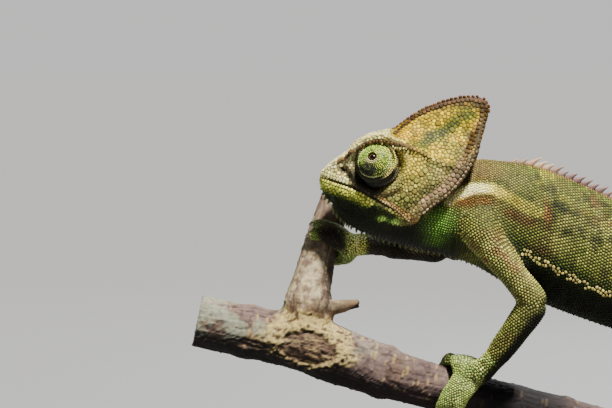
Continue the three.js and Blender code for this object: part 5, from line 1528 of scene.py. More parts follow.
col = linear(lerp(np.array([[150.0, 158, 104]]), np.array([[112.0, 126, 66]]), k[:, None]) + RNG.normal(0, 8, (len(pts), 1)))
spines.append(crest_piece("belly", pts, 0.32 + 0.14 * k, 0.55 + 0.75 * k, col, 0.35, -flat_normal(pts, d)))
V, F, C, U = gather(spines)
piece("crest_spines", V, F, SCALE_MAT, C, U)
note("crests")

# ------------------------------------------------------------------ eyes
TURRET_MAT = material("eyelid_skin", rough=0.48, grain=2200, grain_amount=0.2, bump=0.2, bump_scale=6000, bump_size=0.00006, spec=0.5)
EYE_MAT = material("wet_eye", rough=0.12, grain=3000, grain_amount=0.12, bump=0.02, bump_scale=3000, bump_size=0.00002, spec=0.4, coat=0.15, coat_rough=0.05)

# distance from the look axis and height along it, from inside the lid opening out and down to the socket
LID = np.array([
    [0.7, 3.7], [0.98, 4.25], [1.1, 4.7], [1.2, 5.0], [1.36, 5.14], [1.6, 5.16], [1.95, 5.06], [2.5, 4.86], [3.1, 4.52], [3.65, 4.02], [3.98, 3.56], [4.12, 3.4],
    [4.3, 3.42], [4.48, 3.24], [4.56, 2.9], [4.6, 2.5], [4.62, 2.1], [4.6, 1.7], [4.66, 1.42], [4.8, 1.5], [4.94, 1.9], [5.1, 2.16], [5.28, 2.04], [5.4, 1.5], [5.42, 0.95], [5.3, 0.5], [5.14, 0.1], [5.12, -0.2],
    [5.32, -0.38], [5.58, -0.52], [5.76, -0.86], [5.74, -1.3], [5.5, -1.8], [5.0, -2.5], [4.0, -3.4]])


def smooth_path(rows, n):
    at = spline(rows)
    q = at(np.linspace(0, len(rows) - 1, 1200))
    L = np.concatenate([[0], np.cumsum(np.linalg.norm(np.diff(q, axis=0), axis=1))])
    s = np.linspace(0, L[-1], n)
    return np.stack([np.interp(s, L, q[:, a]) for a in range(2)], 1), s


def eye_axes(side):
    s = -1 if side == "left" else 1
    c = head_at(EYE["u"], s * EYE["y"], EYE["v"])
    L = LOOK[side]
    up = unit(np.array([SP, 0, CP]) - L * (L @ np.array([SP, 0, CP])))
    across = np.cross(L, up)
    return c, L, up, across, s


def eye_colour(rho, h, P, up_share, back_share, drop, pick):
    """Green granular dome and the folds round it. Painted shade darkens the dome's lower part, the folds' creases and
    the folds that face down; folds that face up are painted lighter, and the pale rims on the folds are brightened as
    painted highlights.
    """
    n = len(rho)
    c = lerp(np.array([[192.0, 228, 104]]), np.array([[222.0, 238, 92]]), ss(back_share, -0.62, -0.1)[:, None])
    c = mix(c, (160, 206, 66), ss(noise(P, 1.1, 91), 0.4, 0.8) * 0.7)
    c = mix(c, (236, 250, 132), ss(noise(P, 0.8, 97), 0.5, 0.85) * 0.5)
    # painted shade: the dome's lower part darkens to near black, its granules less
    lower = ss(drop - 1.75 - 0.9 * ss(back_share, -0.3, 0.1) + 0.8 * (noise(P, 1.6, 99) - 0.5) + 0.7 * (pick - 0.5) * (pick > 0), -0.35, 0.55) * ss(h, 2.85, 3.05)
    c = mix(c, (232, 250, 128), (pick > 0.84) * 0.8)
    c = mix(c, (92, 140, 36), (pick < 0.26) * 0.75 * (pick > 0))
    to_back = ss(back_share, -0.5, -0.12)
    c = mix(c, (20, 28, 9), lower * 0.95)
    c = mix(c, (158, 172, 70), lower * (pick > lerp(0.74, 0.42, to_back)) * lerp(0.55, 0.95, to_back))
    c = mix(c, (242, 232, 186), ss(2.15 - rho, 0.0, 0.3) * (h > 4.6) * (0.15 + 0.8 * ss(drop, -0.2, 0.9)))
    c = mix(c, (40, 28, 18), ss(1.22 - rho, 0.0, 0.2) * (h > 3.4))
    c = mix(c, (244, 250, 206), np.exp(-(((h - 3.32) / 0.2) ** 2)) * (rho > 4.15) * (1 - lower))
    # painted highlight: the pale ring low on the dome is made near white
    c = mix(c, (246, 252, 204), np.exp(-(((h - 2.66) / 0.24) ** 2)) * (rho > 4.4) * ss(drop, -0.5, 1.5))
    c = mix(c, (60, 66, 30), np.exp(-(((rho - 4.08) / 0.12) ** 2)) * (h > 3) * 0.7)
    outer = (rho > 4.7) | ((rho > 4.55) & (h < 1.95))
    # painted light and shade on the folds: pale where they face up, dark where they face down and in the crease at the
    # dome's foot
    lit = ss(up_share, -0.1, 0.35)
    fold = lerp(np.array([50.0, 48, 26]), np.array([168.0, 156, 96]), lit[:, None])
    # painted highlight on the crest of the outer fold
    fold = mix(fold, (250, 232, 150), ss(h, 1.75, 2.0) * (rho > 4.95) * ss(back_share + 0.9 * up_share, -0.45, 0.0))
    fold = mix(fold, (22, 20, 12), np.exp(-(((h - 0.05) / 0.35) ** 2)) + (rho < 4.93))
    fold = mix(fold, (150, 144, 112), np.exp(-(((h + 0.55) / 0.16) ** 2)) * (1 - lit) * ss(back_share, 0.0, 0.3))
    fold = mix(fold, (36, 32, 20), ss(-0.8 - h, 0, 0.4) * (1 - lit))
    return np.where(outer[:, None], fold, c)


def brow_fold(rho, h, a):
    """How far the outer fold rises above the dome, under the brow."""
    return 1.7 * np.exp(-(((rho - 5.16) / 0.24) ** 2)) * ss(h, 0.4, 1.4) * ss(np.sin(a + 0.35), -0.1, 0.5)


for side in ("left", "right"):
    c0, L, up, across, sgn = eye_axes(side)
    path, run = smooth_path(LID, 110)
    M = 132
    a = 2 * math.pi * np.arange(M) / M
    rho, h = path[:, 0], path[:, 1]
    # the opening is a little wider than high, and the folds gather below and behind
    A, RHO = np.meshgrid(a, rho)
    _, HH = np.meshgrid(a, h)
    stretch = 1 + 0.07 * np.cos(2 * A) * ss(2.6 - RHO, 0, 1.5) * (HH > 3)
    wob = 0.05 * np.sin(3 * A + 1.0) + 0.04 * np.sin(5 * A + 2.2)
    RH = RHO * stretch * (1 + wob * 0.35 * ss(1.8 - HH, 0, 1.2))
    HV = HH + wob * ss(1.8 - HH, 0, 1.2) * 1.6 + brow_fold(RHO, HH, A)
    Pq = c0 + L * HV[..., None] + up * (RH * np.sin(A))[..., None] + across * (RH * np.cos(A))[..., None]
    V, F = grid_mesh(Pq, Pq[0].mean(0), Pq[-1].mean(0))
    V[:-2] += unit(V[:-2] - (c0 - L * 0)) * (0.05 * (noise(V[:-2], 0.45, 7) - 0.5))[:, None]
    ang = np.concatenate([A.ravel(), [0, 0]])
    rr_, hh_ = np.concatenate([RHO.ravel(), [0, 0]]), np.concatenate([HH.ravel(), [3.9, -3.4]])
    ups = (unit(V - c0) @ np.array([SP, 0, CP]))
    off_ = V - c0 - L * ((V - c0) @ L)[:, None]
    base = eye_colour(rr_, hh_, V, ups, unit(V - c0)[:, 0], -off_[:, 2], np.zeros(len(V)))
    if side == "left":
        F = F[:, ::-1]
    UVt = np.stack([0.5 + (0.02 + 0.45 * np.concatenate([np.repeat(run, M) / run[-1], [0, 1]])) * np.cos(ang), 0.5 + (0.02 + 0.45 * np.concatenate([np.repeat(run, M) / run[-1], [0, 1]])) * np.sin(ang)], 1)
    # granules in rings round the opening, from the lid's rim down over the folds
    kept_V, kept_F, kept_C, kept_U, off = [V], [F], [rich(base) * 0.14], [UVt], len(V)
    s0 = run[np.argmax(path[:, 0] > 1.3)]
    s_at, ring_no = s0, 0
    while s_at < run[-1] * 0.86:
        rho_s, h_s = np.interp(s_at, run, path[:, 0]), np.interp(s_at, run, path[:, 1])
        tang = np.array([np.interp(s_at + 0.05, run, path[:, 0]) - np.interp(s_at - 0.05, run, path[:, 0]), np.interp(s_at + 0.05, run, path[:, 1]) - np.interp(s_at - 0.05, run, path[:, 1])])
        tang /= np.linalg.norm(tang)
        size = 0.5 + 0.06 * ss(s_at, 2.5, 8)
        n = max(int(2 * math.pi * rho_s / size), 6)
        aa = (np.arange(n) + 0.5 * (ring_no % 2) + RNG.normal(0, 0.06, n)) / n * 2 * math.pi
        st = 1 + 0.07 * np.cos(2 * aa) * float(ss(2.6 - rho_s, 0, 1.5)) * (h_s > 3)
        wb = 0.05 * np.sin(3 * aa + 1.0) + 0.04 * np.sin(5 * aa + 2.2)
        rh = rho_s * st * (1 + wb * 0.35 * float(ss(1.8 - h_s, 0, 1.2)))
        hv = h_s + wb * float(ss(1.8 - h_s, 0, 1.2)) * 1.6 + brow_fold(rho_s, h_s, aa)
        radial = up * np.sin(aa)[:, None] + across * np.cos(aa)[:, None]
        ctr = c0 + L * hv[:, None] + radial * rh[:, None]
        nrm = unit(radial * -tang[1] + L * tang[0])
        circ = unit(np.cross(L, radial))
        slope = np.cross(nrm, circ)
        g_r = size * (0.5 - 0.07 * ss(0.1 - radial @ np.array([SP, 0, CP]), 0, 0.3)) * np.exp(RNG.normal(0, 0.06, n))
        g_h = 0.2 * np.exp(RNG.normal(0, 0.15, n))
        K6 = 6
        b = 2 * math.pi * np.arange(K6) / K6 + 0.5
        ringA = ctr[:, None] - nrm[:, None] * 0.06 + circ[:, None] * (g_r[:, None] * np.cos(b))[..., None] * 0.98 + slope[:, None] * (g_r[:, None] * np.sin(b))[..., None] * 0.92
        ringB = ctr[:, None] + nrm[:, None] * (g_h * 0.7)[:, None, None] + circ[:, None] * (g_r[:, None] * np.cos(b))[..., None] * 0.72 + slope[:, None] * (g_r[:, None] * np.sin(b))[..., None] * 0.68
        top = ctr + nrm * g_h[:, None]
        bot = ctr - nrm * 0.1
        VV = np.concatenate([ringA, ringB, top[:, None], bot[:, None]], 1)
        cc = rich(eye_colour(np.full(n, rho_s), np.full(n, h_s), ctr, unit(ctr - c0) @ np.array([SP, 0, CP]), unit(ctr - c0)[:, 0], -radial[:, 2] * rho_s, RNG.random(n))) * np.exp(RNG.normal(0, 0.1, (n, 1)))
        # the granules are brightened, and more as painted highlights on the pale ring low on the dome and on the outer
        # fold's crest
        cc = cc * (1.5 + 0.5 * (2.4 < h_s < 2.9) + 0.45 * (rho_s > 4.9 and h_s > 1.7))
        CC = np.concatenate([np.repeat((cc * 0.14)[:, None], K6, 1), np.repeat((cc * 0.95)[:, None], K6, 1), (cc * 1.06)[:, None], (cc * 0.3)[:, None]], 1)
        m, q = np.arange(K6), (np.arange(K6) + 1) % K6
        FF = np.vstack([np.stack([m, q, K6 + q], 1), np.stack([m, K6 + q, K6 + m], 1), np.stack([K6 + m, K6 + q, np.full(K6, 2 * K6)], 1), np.stack([q, m, np.full(K6, 2 * K6 + 1)], 1)])
        per = 2 * K6 + 2
        flip = (np.cross(circ, slope) * nrm).sum(1).mean() < 0
        if flip:
            FF = FF[:, ::-1]
        rad_uv = 0.02 + 0.45 * s_at / run[-1]
        cu = np.stack([0.5 + rad_uv * np.cos(aa), 0.5 + rad_uv * np.sin(aa)], 1)
        UU = cu[:, None] + np.concatenate([np.stack([np.cos(b), np.sin(b)], 1) * 0.0015, np.stack([np.cos(b), np.sin(b)], 1) * 0.001, np.zeros((2, 2))])[None]
        kept_V.append(VV.reshape(-1, 3))
        kept_F.append((FF[None] + (off + np.arange(n) * per)[:, None, None]).reshape(-1, 3))
        kept_C.append(CC.reshape(-1, 3))
        kept_U.append(UU.reshape(-1, 2))
        off += n * per
        s_at += size * 0.88
        ring_no += 1
    V, F, C, U = np.vstack(kept_V), np.vstack(kept_F), np.clip(np.vstack(kept_C), 0, 1.7), np.vstack(kept_U)
    piece(f"turret_{side}", V, F, TURRET_MAT, C, U, replaces=[f"eye_turret_{side}"])
    note(f"turret {side}: {len(F)} triangles")

    # eyeball behind the lids, with a brown iris and a black pupil
    rows_, cols_ = 40, 64
    th = np.linspace(0.02, math.pi * 0.62, rows_)
    ph = 2 * math.pi * np.arange(cols_) / cols_
    TH, PH = np.meshgrid(th, ph, indexing="ij")
    rb = 1.5
    bulge = 1 + 0.10 * np.exp(-((TH / 0.5) ** 2))
    ctr = c0 + L * 3.55
    dirs = L * np.cos(TH)[..., None] + (up * np.sin(PH)[..., None] + across * np.cos(PH)[..., None]) * np.sin(TH)[..., None]
    Pq = ctr + dirs * (rb * bulge)[..., None]
    V, F = grid_mesh(Pq, ctr + L * rb * 1.1, ctr - L * rb * 0.6)
    if side == "left":
        F = F[:, ::-1]
    dd = unit(V - ctr)
    offc = unit(L + 0.16 * np.array([1, 0, 0]) - 0.10 * up)
    ang_e = np.degrees(np.arccos(np.clip(dd @ offc, -1, 1)))
    az = np.arctan2(dd @ up, dd @ across)
    cb = np.tile(np.array([12.0, 9, 8]), (len(V), 1))
    iris = ss(ang_e, 27, 30) * (1 - ss(ang_e, 44, 50))
    cb = mix(cb, (126, 82, 40), iris)
    cb = mix(cb, (196, 150, 74), iris * ss(np.sin(az * 17 + 3 * noise(V, 0.4, 3)), 0.2, 1.0) * 0.5)
    cb = mix(cb, (60, 42, 30), ss(ang_e, 44, 52))
    piece(f"eyeball_{side}_wet", V, F, EYE_MAT, linear(cb), replaces=[f"eyeball_{side}"])

# ------------------------------------------------------------------ claws
CLAW_MAT = material("claw_horn", rough=0.32, grain=1200, grain_amount=0.25, bump=0.15, bump_scale=2500, bump_size=0.00005, spec=0.55)
items, named = [], []
for name, f in FEET.items():
    T, Nn, Y, p, r = foot_frame(f)
    for key, b in f["bundles"].items():
        for j in range(b["toes"]):
            w = np.linspace(0.93, 1.24, 9)
            c, fat = toe_path(f, b, j)(w)
            k = np.linspace(0, 1, 9)
            # the tip curls down to the wood
            rad = lerp(0.86, 0.14, k**1.15)
            rows = np.column_stack([c, rad, rad * 0.8])
            Pq, cc = tube_rings(rows, 22, 14, 0.0, T, (0, 1), 0.1, 0.2)
            V, F = grid_mesh(Pq, cc[0], cc[-1])
            kk = np.concatenate([np.repeat(np.linspace(0, 1, 22), 14), [0, 1]])
            col = lerp(np.array([[150.0, 138, 98]]), np.array([[74.0, 58, 42]]), ss(kk, 0.25, 0.95)[:, None])
            items.append((V, F, linear(col), np.zeros((len(V), 2))))
            named.append(f"{name}_claw_{key}_{j + 1}")
V, F, C, U = gather(items)
piece("claws", V, F, CLAW_MAT, C, replaces=named)
note("eyes and claws")

# ------------------------------------------------------------------ the perch
xs = np.linspace(-27, 134, 300)
p_, d_, r_ = branch_at(xs)
n_ = np.stack([-d_[:, 2], np.zeros(len(xs)), d_[:, 0]], 1)
a = 2 * math.pi * np.arange(64) / 64
Pq = p_[:, None] + n_[:, None] * (r_[:, None] * np.cos(a))[..., None] + np.array([0, 1, 0]) * (r_[:, None] * np.sin(a))[..., None]
main = grid_mesh(Pq, p_[0], p_[-1])
Pq, c = tube_rings(FORK_ROWS, 120, 48, 0, (0, 1, 0), (0, 0))
fork = grid_mesh(Pq, c[0], c[-1])
Pq, c2 = tube_rings(STUB_ROWS, 50, 24, 0, (0, 1, 0), (0, 0))
stub = grid_mesh(Pq, c2[0], c2[-1])
BV, BF = remesh("perch_raw", *join([main, fork, stub]), 0.36)
BV, BF = biggest_shell(BV, BF)
# flare where the fork leaves the branch
forkline = spline(FORK_ROWS)(np.linspace(0, 5, 60))
kd = KDTree(len(forkline))
for i, q in enumerate(forkline[:, :3].tolist()):
    kd.insert(q, i)
kd.balance()
fi = np.array([kd.find(q)[1] for q in BV.tolist()])
fork_far = np.linalg.norm(BV - forkline[fi, :3], axis=1) - forkline[fi, 3]
bp, bd, br = branch_at(BV[:, 0])
for _ in range(2):
    s = ((BV - bp) * bd).sum(1)
    bp, bd, br = branch_at(bp[:, 0] + s * bd[:, 0])
main_far = np.linalg.norm(BV - bp, axis=1) - br
on_main = main_far < fork_far + 0.2
junction = np.clip(1 - np.maximum(main_far, fork_far) / 3.0, 0, 1)
junction = spread(junction, BF, len(BV), 8)
BV = smooth(BV, BF, 3, 0.5, 0.5)
BV = smooth(BV, BF, 60, 0.5, 0.0, np.clip(junction * 1.3, 0, 1))
BN = vertex_normals(BV, BF)
note(f"perch {len(BF)} triangles")


# bark coordinates: distance along the wood, and round it
s_main = bp[:, 0] * 1.03
phi = np.arctan2((BV - bp)[:, 1], ((BV - bp) * np.stack([-bd[:, 2], np.zeros(len(bd)), bd[:, 0]], 1)).sum(1))
s_fork = fi / 59 * 42
fd = unit(np.gradient(forkline[:, :3], axis=0))[fi]
fo_ = BV - forkline[fi, :3]
phi_f = np.arctan2(fo_[:, 1], fo_[:, 0])
S = np.where(on_main, s_main, s_fork + 300)
A_ = np.where(on_main, phi * br, phi_f * forkline[fi, 3])
circ_r = np.where(on_main, br, forkline[fi, 3])
ang = np.where(on_main, phi, phi_f)
ring_pt = np.stack([np.cos(ang) * circ_r, np.sin(ang) * circ_r, S], 1)


def spots(cell_s, cell_a, half_s, half_a, chance, seed):
    """Scattered flat ellipses on the bark, 1 in the middle of each and 0 outside."""
    n_round = np.maximum(np.round(2 * math.pi * 5.8 / cell_a), 1)
    ca = (ang / (2 * math.pi) * n_round)
    cs = S / cell_s
    best = np.zeros(len(BV))
    for i in (-1, 0, 1):
        for j in (-1, 0, 1):
            gi, gj = np.floor(cs) + i, np.floor(ca) + j
            key = ((gi.astype(np.int64) * 92837111) ^ (np.mod(gj, n_round).astype(np.int64) * 689287499) ^ (seed * 283923481)) & 65535
            r1, r2, r3, r4 = TABLE[key], TABLE[(key + 7919) & 65535], TABLE[(key + 15401) & 65535], TABLE[(key + 22013) & 65535]
            ds = (cs - gi - r1) * cell_s
            da = (ca - gj - r2) * (2 * math.pi / n_round) * circ_r
            size = 0.6 + 0.8 * r4
            e = 1 - np.sqrt((ds / (half_s * size)) ** 2 + (da / (half_a * size)) ** 2)
            best = np.maximum(best, np.where(r3 < chance, e, 0))
    return np.clip(best, 0, 1)


lent = ss(spots(2.6, 3.2, 0.42, 1.35, 0.5, 1), 0.0, 0.35)
flecks = ss(spots(1.3, 1.1, 0.3, 0.3, 0.45, 2), 0.0, 0.4)
q = ring_pt * np.array([1.0, 1.0, 0.22])
ridges = cloud(q, 1.5, 101)
lumps = cloud(ring_pt, 9, 103)
crack = np.exp(-(((noise(q, 1.15, 107) - 0.5) / 0.05) ** 2))
fine = cloud(ring_pt, 1.0, 109)
# the oval scar on the near side below the fork, with a callus round it
sc_x, sc_z = (308 - 300) / 3.8, (408 - 345) / 3.8
turn = -0.21
dxs, dzs = BV[:, 0] - sc_x, BV[:, 2] - sc_z
ax_, az_ = dxs * math.cos(turn) + dzs * math.sin(turn), -dxs * math.sin(turn) + dzs * math.cos(turn)
near_side = ss(-BV[:, 1], -1.0, 2.0)
e_sc = np.sqrt((ax_ / 8.2) ** 2 + (az_ / 4.6) ** 2) + 0.26 * (noise(BV, 2.6, 113) - 0.5) + 0.2 * (noise(BV, 1.1, 115) - 0.5)
in_scar = (1 - ss(e_sc, 0.82, 0.94)) * near_side
flaky = (1 - ss(np.sqrt((ax_ / 13.0) ** 2 + ((az_ - 1.0) / 8.2) ** 2) + 0.7 * (cloud(BV, 2.8, 111) - 0.5), 0.9, 1.12)) * near_side
flakes = cloud(BV, 1.0, 119)
callus = np.exp(-(((e_sc - 1.12) / 0.2) ** 2)) * near_side * (0.35 + 1.0 * flakes)
scar_cracks = np.exp(-(((noise(np.stack([ax_ * 0.35, az_ * 1.3, BV[:, 1]], 1), 1.0, 117) - 0.5) / 0.08) ** 2))
# a cut twig's scar ring and node swellings further along
node = sum(np.exp(-(((s_main - x0) / w0) ** 2)) * on_main for x0, w0 in ((-14, 2.6), (23, 2.0), (72, 2.4), (112, 2.6)))
lichen_mask = ss(cloud(BV, 6, 121) + 0.35 * ss(-BV[:, 0], 2, 24) + 0.12 * BN[:, 2], 0.72, 0.86) * (1 - in_scar)
lichen_mask = np.maximum(lichen_mask, ss(cloud(BV, 3.2, 127), 0.66, 0.74) * 0.8 * ss(-BV[:, 0], -30, 20)) * (1 - 0.8 * flaky) * (1 - 0.75 * ss(BV[:, 0], 8, 20))
lichen_rough = cloud(BV, 0.9, 131)
cut = ss(np.abs(BN @ np.array([0.97, 0, -0.23])), 0.93, 0.98) * ((BV[:, 0] < -25.5) | (BV[:, 0] > 133))
tip = forkline[-1]
tip_dir = unit(forkline[-1, :3] - forkline[-3, :3])
cut = np.maximum(cut, ss((BV - tip[:3]) @ tip_dir, -0.5, -0.1) * ss(BN @ tip_dir, 0.85, 0.97) * (fork_far < 1))
foot_near = np.zeros(len(BV))
for f in FEET.values():
    foot_near = np.maximum(foot_near, 1 - ss(np.linalg.norm(BV - f["at"]["p"], axis=1), 9, 14))
bump = 0.7 * (lumps - 0.5) * (1 - 0.75 * foot_near) + 0.34 * (ridges - 0.5) - 0.2 * crack + 0.16 * lent + 0.1 * flecks + 0.12 * (fine - 0.5)
bump += 0.55 * node * (0.6 + 0.8 * ridges) * (1 - foot_near)
bump += 0.8 * (1 - on_main) * (cloud(ring_pt, 2.2, 161) - 0.5) * (1 - foot_near)
bump += 0.5 * callus + 0.7 * flaky * (flakes - 0.45) - in_scar * (0.3 + 0.3 * scar_cracks)
bump += 0.9 * (1 - ss(np.abs(BV[:, 2] - 24.5), 2.0, 4.5)) * (1 - ss(np.abs(BV[:, 0] - 3.0), 6.0, 9.5)) * near_side * (cloud(BV, 1.8, 239) - 0.45)
bump += lichen_mask * (0.1 + 0.42 * (lichen_rough - 0.35)) * (1 - 0.5 * foot_near)
bump = np.where(cut > 0.3, 0.06 * (fine - 0.5), bump)
bump = np.minimum(bump, lerp(1.4, 0.28, foot_near))
BV = BV + BN * bump[:, None]
BN = vertex_normals(BV, BF)
n1, n2, n3 = cloud(ring_pt, 5, 141), cloud(ring_pt, 2.0, 143), noise(ring_pt, 0.7, 149)
bc = np.tile(np.array([134.0, 112, 108]), (len(BV), 1))
bc = mix(bc, (182, 156, 142), ss(n1, 0.5, 0.72) * 0.8)
bc = mix(bc, (74, 58, 60), ss(1 - n2, 0.52, 0.76) * 0.85)
bc = mix(bc, (132, 106, 84), ss(cloud(ring_pt, 8, 151), 0.5, 0.7) * 0.6)
bc = mix(bc, (50, 38, 36), crack * 0.6)
bc = mix(bc, (186, 158, 104), lent * 0.85)
bc = mix(bc, (168, 146, 112), flecks * 0.55)
fork_part = (1 - on_main) * ss(BV[:, 2], 19, 25)
bc = mix(bc, (212, 196, 156), fork_part * (0.35 + 0.6 * ss(cloud(BV, 3.4, 157), 0.35, 0.6)))
bc = mix(bc, (120, 96, 78), fork_part * ss(cloud(BV, 2.0, 159), 0.54, 0.68) * 0.7)
bc = mix(bc, (134, 110, 88), fork_part * ss(ridges, 0.48, 0.62) * 0.55)
bc = mix(bc, (124, 98, 72), fork_part * ss(BV[:, 0], 6.5, 9.0) * (1 - ss(BV[:, 2], 29, 32)) * 0.75)
bc = mix(bc, (226, 206, 150), fork_part * ss(fine, 0.6, 0.75) * 0.6)
bc = mix(bc, (136, 110, 96), fork_part * ss(BV[:, 2], 38, 46) * (0.3 + 0.4 * ss(cloud(BV, 4.5, 237), 0.4, 0.6)))
knobs = (1 - ss(np.abs(BV[:, 2] - 24.5), 2.0, 4.5)) * (1 - ss(np.abs(BV[:, 0] - 3.0), 6.0, 9.5)) * near_side
bc = mix(bc, (98, 74, 50), knobs * ss(cloud(BV, 1.8, 239), 0.38, 0.52) * 0.9)
bc = mix(bc, (212, 190, 122), np.clip(flaky * ss(flakes, 0.34, 0.5) + 0.8 * callus, 0, 1) * 0.9)
bc = mix(bc, (84, 62, 42), flaky * ss(0.42 - flakes, 0.0, 0.1) * 0.8)
bc = mix(bc, (112, 88, 72), in_scar * (0.75 + 0.25 * ss(n2, 0.3, 0.6)))
bc = mix(bc, (64, 46, 32), in_scar * scar_cracks * 0.9)
bc = mix(bc, (186, 162, 108), in_scar * ss(noise(np.stack([ax_ * 0.22, az_ * 1.5, BV[:, 1]], 1), 1.0, 241), 0.62, 0.74) * 0.8)
bc = mix(bc, (160, 168, 146), lichen_mask * (0.55 + 0.5 * lichen_rough))
# painted shadow of the body on the main branch from x 34 mm, fading out past x 64 mm
shaded = ss(BV[:, 0], 34, 52) * (1 - 0.75 * ss(BV[:, 0], 64, 78))
bc = mix(bc, (19, 14, 18), shaded * (0.92 + 0.07 * ss(n1, 0.3, 0.6)) * (1 - 0.25 * lent))
# painted shade on the underside of the main branch
bc = mix(bc, (14, 11, 12), on_main * ss(-BN[:, 2] - 0.25 * BN[:, 1], 0.1, 0.8) * (1 - 0.6 * in_scar) * 0.92)
# painted shade on the fork's side that faces the tail
bc = mix(bc, (60, 46, 42), (1 - on_main) * ss(BN[:, 0], 0.2, 0.85) * ss(BV[:, 2], 22, 28) * 0.7)
bc = mix(bc, (86, 66, 62), on_main * ss(BV[:, 0], 14, 28) * (1 - shaded) * (1 - 0.6 * lent) * 0.3)
rr_ = np.linalg.norm(BV - bp, axis=1)
ring_tone = 0.5 + 0.5 * np.sin(rr_ * 5.2 + 1.5 * n1)
bc = np.where((cut > 0.3)[:, None], lerp(np.array([[196.0, 168, 122]]), np.array([[160.0, 126, 84]]), ring_tone[:, None]), bc)
bc = mix(bc, (92, 70, 48), (cut > 0.3) * (1 - ss(rr_, 0.4, 0.9)))
BARK_MAT = material("bark", rough=0.82, grain=900, grain_amount=0.3, bump=0.5, bump_scale=1500, bump_size=0.0002, spec=0.25)
piece("perch_bark", BV, BF, BARK_MAT, linear(np.clip(bc, 5, 250)), replaces=["perch_branch"])
note("perch done")

# ------------------------------------------------------------------ display stand
WOOD = bpy.data.materials.new("stand_wood")
WOOD.use_nodes = True
nt = WOOD.node_tree
bs = nt.nodes["Principled BSDF"]
co = nt.nodes.new("ShaderNodeTexCoord")
mp = nt.nodes.new("ShaderNodeMapping")
mp.inputs["Scale"].default_value = (14, 190, 190)
nz = nt.nodes.new("ShaderNodeTexNoise")
nz.inputs["Scale"].default_value = 1.0
nz.inputs["Detail"].default_value = 6.0
nz.inputs["Distortion"].default_value = 0.6
cr = nt.nodes.new("ShaderNodeValToRGB")
cr.color_ramp.elements[0].position, cr.color_ramp.elements[0].color = 0.32, (*linear(np.array([34.0, 24, 19])), 1)
cr.color_ramp.elements[1].position, cr.color_ramp.elements[1].color = 0.68, (*linear(np.array([82.0, 58, 42])), 1)
bu = nt.nodes.new("ShaderNodeBump")
bu.inputs["Strength"].default_value, bu.inputs["Distance"].default_value = 0.2, 0.0002
nt.links.new(co.outputs["Object"], mp.inputs["Vector"])
nt.links.new(mp.outputs["Vector"], nz.inputs["Vector"])
nt.links.new(nz.outputs["Fac"], cr.inputs["Fac"])
nt.links.new(cr.outputs["Color"], bs.inputs["Base Color"])
nt.links.new(nz.outputs["Fac"], bu.inputs["Height"])
nt.links.new(bu.outputs["Normal"], bs.inputs["Normal"])
bs.inputs["Roughness"].default_value = 0.34
bs.inputs["Coat Weight"].default_value = 0.25
bs.inputs["Coat Roughness"].default_value = 0.12

x0, x1, hw, top, thick, corner, bev = -4.0, 174.0, 47.0, -51.0, 9.0, 16.0, 1.2
prof = [(0.0, 0.5), (0.35, 0.12), (bev * 0.9, 0.0)]
levels = [(bev, top - thick), (0.35, top - thick + 0.35), (0.0, top - thick + bev), (0.0, top - bev * 1.6)]
for k in range(7):
    q = k / 6 * math.pi / 2
    levels.append((bev * 1.6 * (1 - math.cos(q)), top - bev * 1.6 * (1 - math.sin(q))))
levels += [(bev * 1.6 + 0.5, top - 0.02), (5.2, top - 0.02), (5.5, top - 0.28), (5.9, top - 0.28), (6.2, top - 0.02)]
rings = []
for inset, z in levels:
    pts = []
    cx, cy, cr_ = (x1 - x0) / 2 - inset, hw - inset, max(corner - inset, 1)
    for qx, qy, a0 in ((1, 1, 0), (-1, 1, 90), (-1, -1, 180), (1, -1, 270)):
        for k in range(17):
            a_ = math.radians(a0 + 90 * k / 16)
            pts.append([(x0 + x1) / 2 + qx * (cx - cr_) + cr_ * math.cos(a_), qy * (cy - cr_) + cr_ * math.sin(a_), z])
    rings.append(pts)
rings = np.array(rings)
V, F = grid_mesh(rings, np.array([(x0 + x1) / 2, 0, top - thick]), np.array([(x0 + x1) / 2, 0, top - 0.02]))
base = piece("base_board", V, F, WOOD, replaces=["stand_base"])
base.data.polygons.foreach_set("use_smooth", np.arange(len(F)) < len(F) - 2 * rings.shape[1])

STEEL = material("brushed_steel", colour=(0.62, 0.63, 0.64), rough=0.28, grain=700, grain_amount=0.1, bump=0.08, bump_scale=4000, bump_size=0.00003, metal=1.0)
for name, x in (("stand_rod_front", 62.0), ("stand_rod_rear", 114.5)):
    b, d, r = branch_at(x)
    low, high = top + 0.02, b[0, 2] - r[0] + 1.2
    prof = [(0.01, low), (5.4, low), (5.4, low + 0.9), (5.15, low + 1.35), (4.8, low + 1.6), (3.55, low + 2.6), (3.2, low + 2.8), (3.0, low + 3.2)]
    prof += [(3.0, z) for z in np.linspace(low + 4, high, 24)]
    a = 2 * math.pi * np.arange(64) / 64
    Pq = np.array([[[x + r0 * math.cos(t_), r0 * math.sin(t_), z] for t_ in a] for r0, z in prof])
    V, F = grid_mesh(Pq, np.array([x, 0, low]), np.array([x, 0, high + 0.01]))
    rod = piece(name.replace("stand_", "steel_"), V, F, STEEL, replaces=[name])
note("stand")

# ------------------------------------------------------------------ floor, light and camera
floor_mat = bpy.data.materials.new("floor_paper")
floor_mat.use_nodes = True
fb = floor_mat.node_tree.nodes["Principled BSDF"]
fb.inputs["Base Color"].default_value = (0.172, 0.178, 0.19, 1)
fb.inputs["Roughness"].default_value = 0.9
me = bpy.data.meshes.new("floor")
me.from_pydata([(-12, -12, 0), (12, -12, 0), (12, 12, 0), (-12, 12, 0)], [], [(0, 1, 2, 3)])
me.materials.append(floor_mat)
floor = bpy.data.objects.new("floor", me)
bpy.context.scene.collection.objects.link(floor)
floor.location.z = float(to_frame([[0, 0, FLOOR]])[0][2])

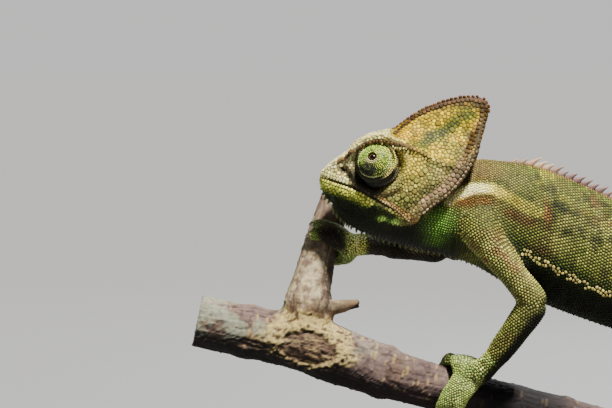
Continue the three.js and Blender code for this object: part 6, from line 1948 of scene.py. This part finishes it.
world = bpy.data.worlds.new("studio")
bpy.context.scene.world = world
world.use_nodes = True
wn = world.node_tree
bg = wn.nodes["Background"]
tc = wn.nodes.new("ShaderNodeTexCoord")
sx = wn.nodes.new("ShaderNodeSeparateXYZ")
rp = wn.nodes.new("ShaderNodeValToRGB")
rp.color_ramp.elements[0].position, rp.color_ramp.elements[0].color = 0.035, (0.70, 0.70, 0.695, 1)
rp.color_ramp.elements[1].position, rp.color_ramp.elements[1].color = 0.14, (0.11, 0.112, 0.115, 1)
wn.links.new(tc.outputs["Generated"], sx.inputs[0])
wn.links.new(sx.outputs["Z"], rp.inputs["Fac"])
wn.links.new(rp.outputs["Color"], bg.inputs["Color"])
bg.inputs["Strength"].default_value = 1.0


def area(name, at, target, size, watts, colour):
    light = bpy.data.lights.new(name, "AREA")
    light.shape = "RECTANGLE"
    light.size, light.size_y = size
    light.energy = watts
    light.color = colour
    ob = bpy.data.objects.new(name, light)
    bpy.context.scene.collection.objects.link(ob)
    ob.location = Vector(to_frame([at])[0])
    ob.rotation_mode = "QUATERNION"
    ob.rotation_quaternion = (Vector(to_frame([target])[0]) - ob.location).to_track_quat("-Z", "Y")
    return ob


middle = (45, 0, 50)
sun = bpy.data.lights.new("key", "SUN")
sun.energy, sun.angle, sun.color = 13.0, math.radians(7), (1.0, 0.955, 0.86)
key = bpy.data.objects.new("key", sun)
bpy.context.scene.collection.objects.link(key)
key.rotation_mode = "QUATERNION"
key.rotation_quaternion = (-Vector((0.23, -0.33, 0.92))).to_track_quat("-Z", "Y")
area("rim", (250, 380, 300), middle, (0.3, 0.3), 2.2, (0.96, 0.98, 1.0))

cam = bpy.data.cameras.new("camera")
cam.lens, cam.sensor_width = 100.0, 36.0
cam.clip_start, cam.clip_end = 0.01, 60.0
camera = bpy.data.objects.new("camera", cam)
bpy.context.scene.collection.objects.link(camera)
aim = np.array([1.579, 0, 53.684])
elev = math.radians(5)
camera.location = Vector(to_frame([aim + 447 * np.array([0, -math.cos(elev), math.sin(elev)])])[0])
camera.rotation_mode = "QUATERNION"
camera.rotation_quaternion = (Vector(to_frame([aim])[0]) - camera.location).to_track_quat("-Z", "Y")
bpy.context.scene.camera = camera

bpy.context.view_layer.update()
note("ready")
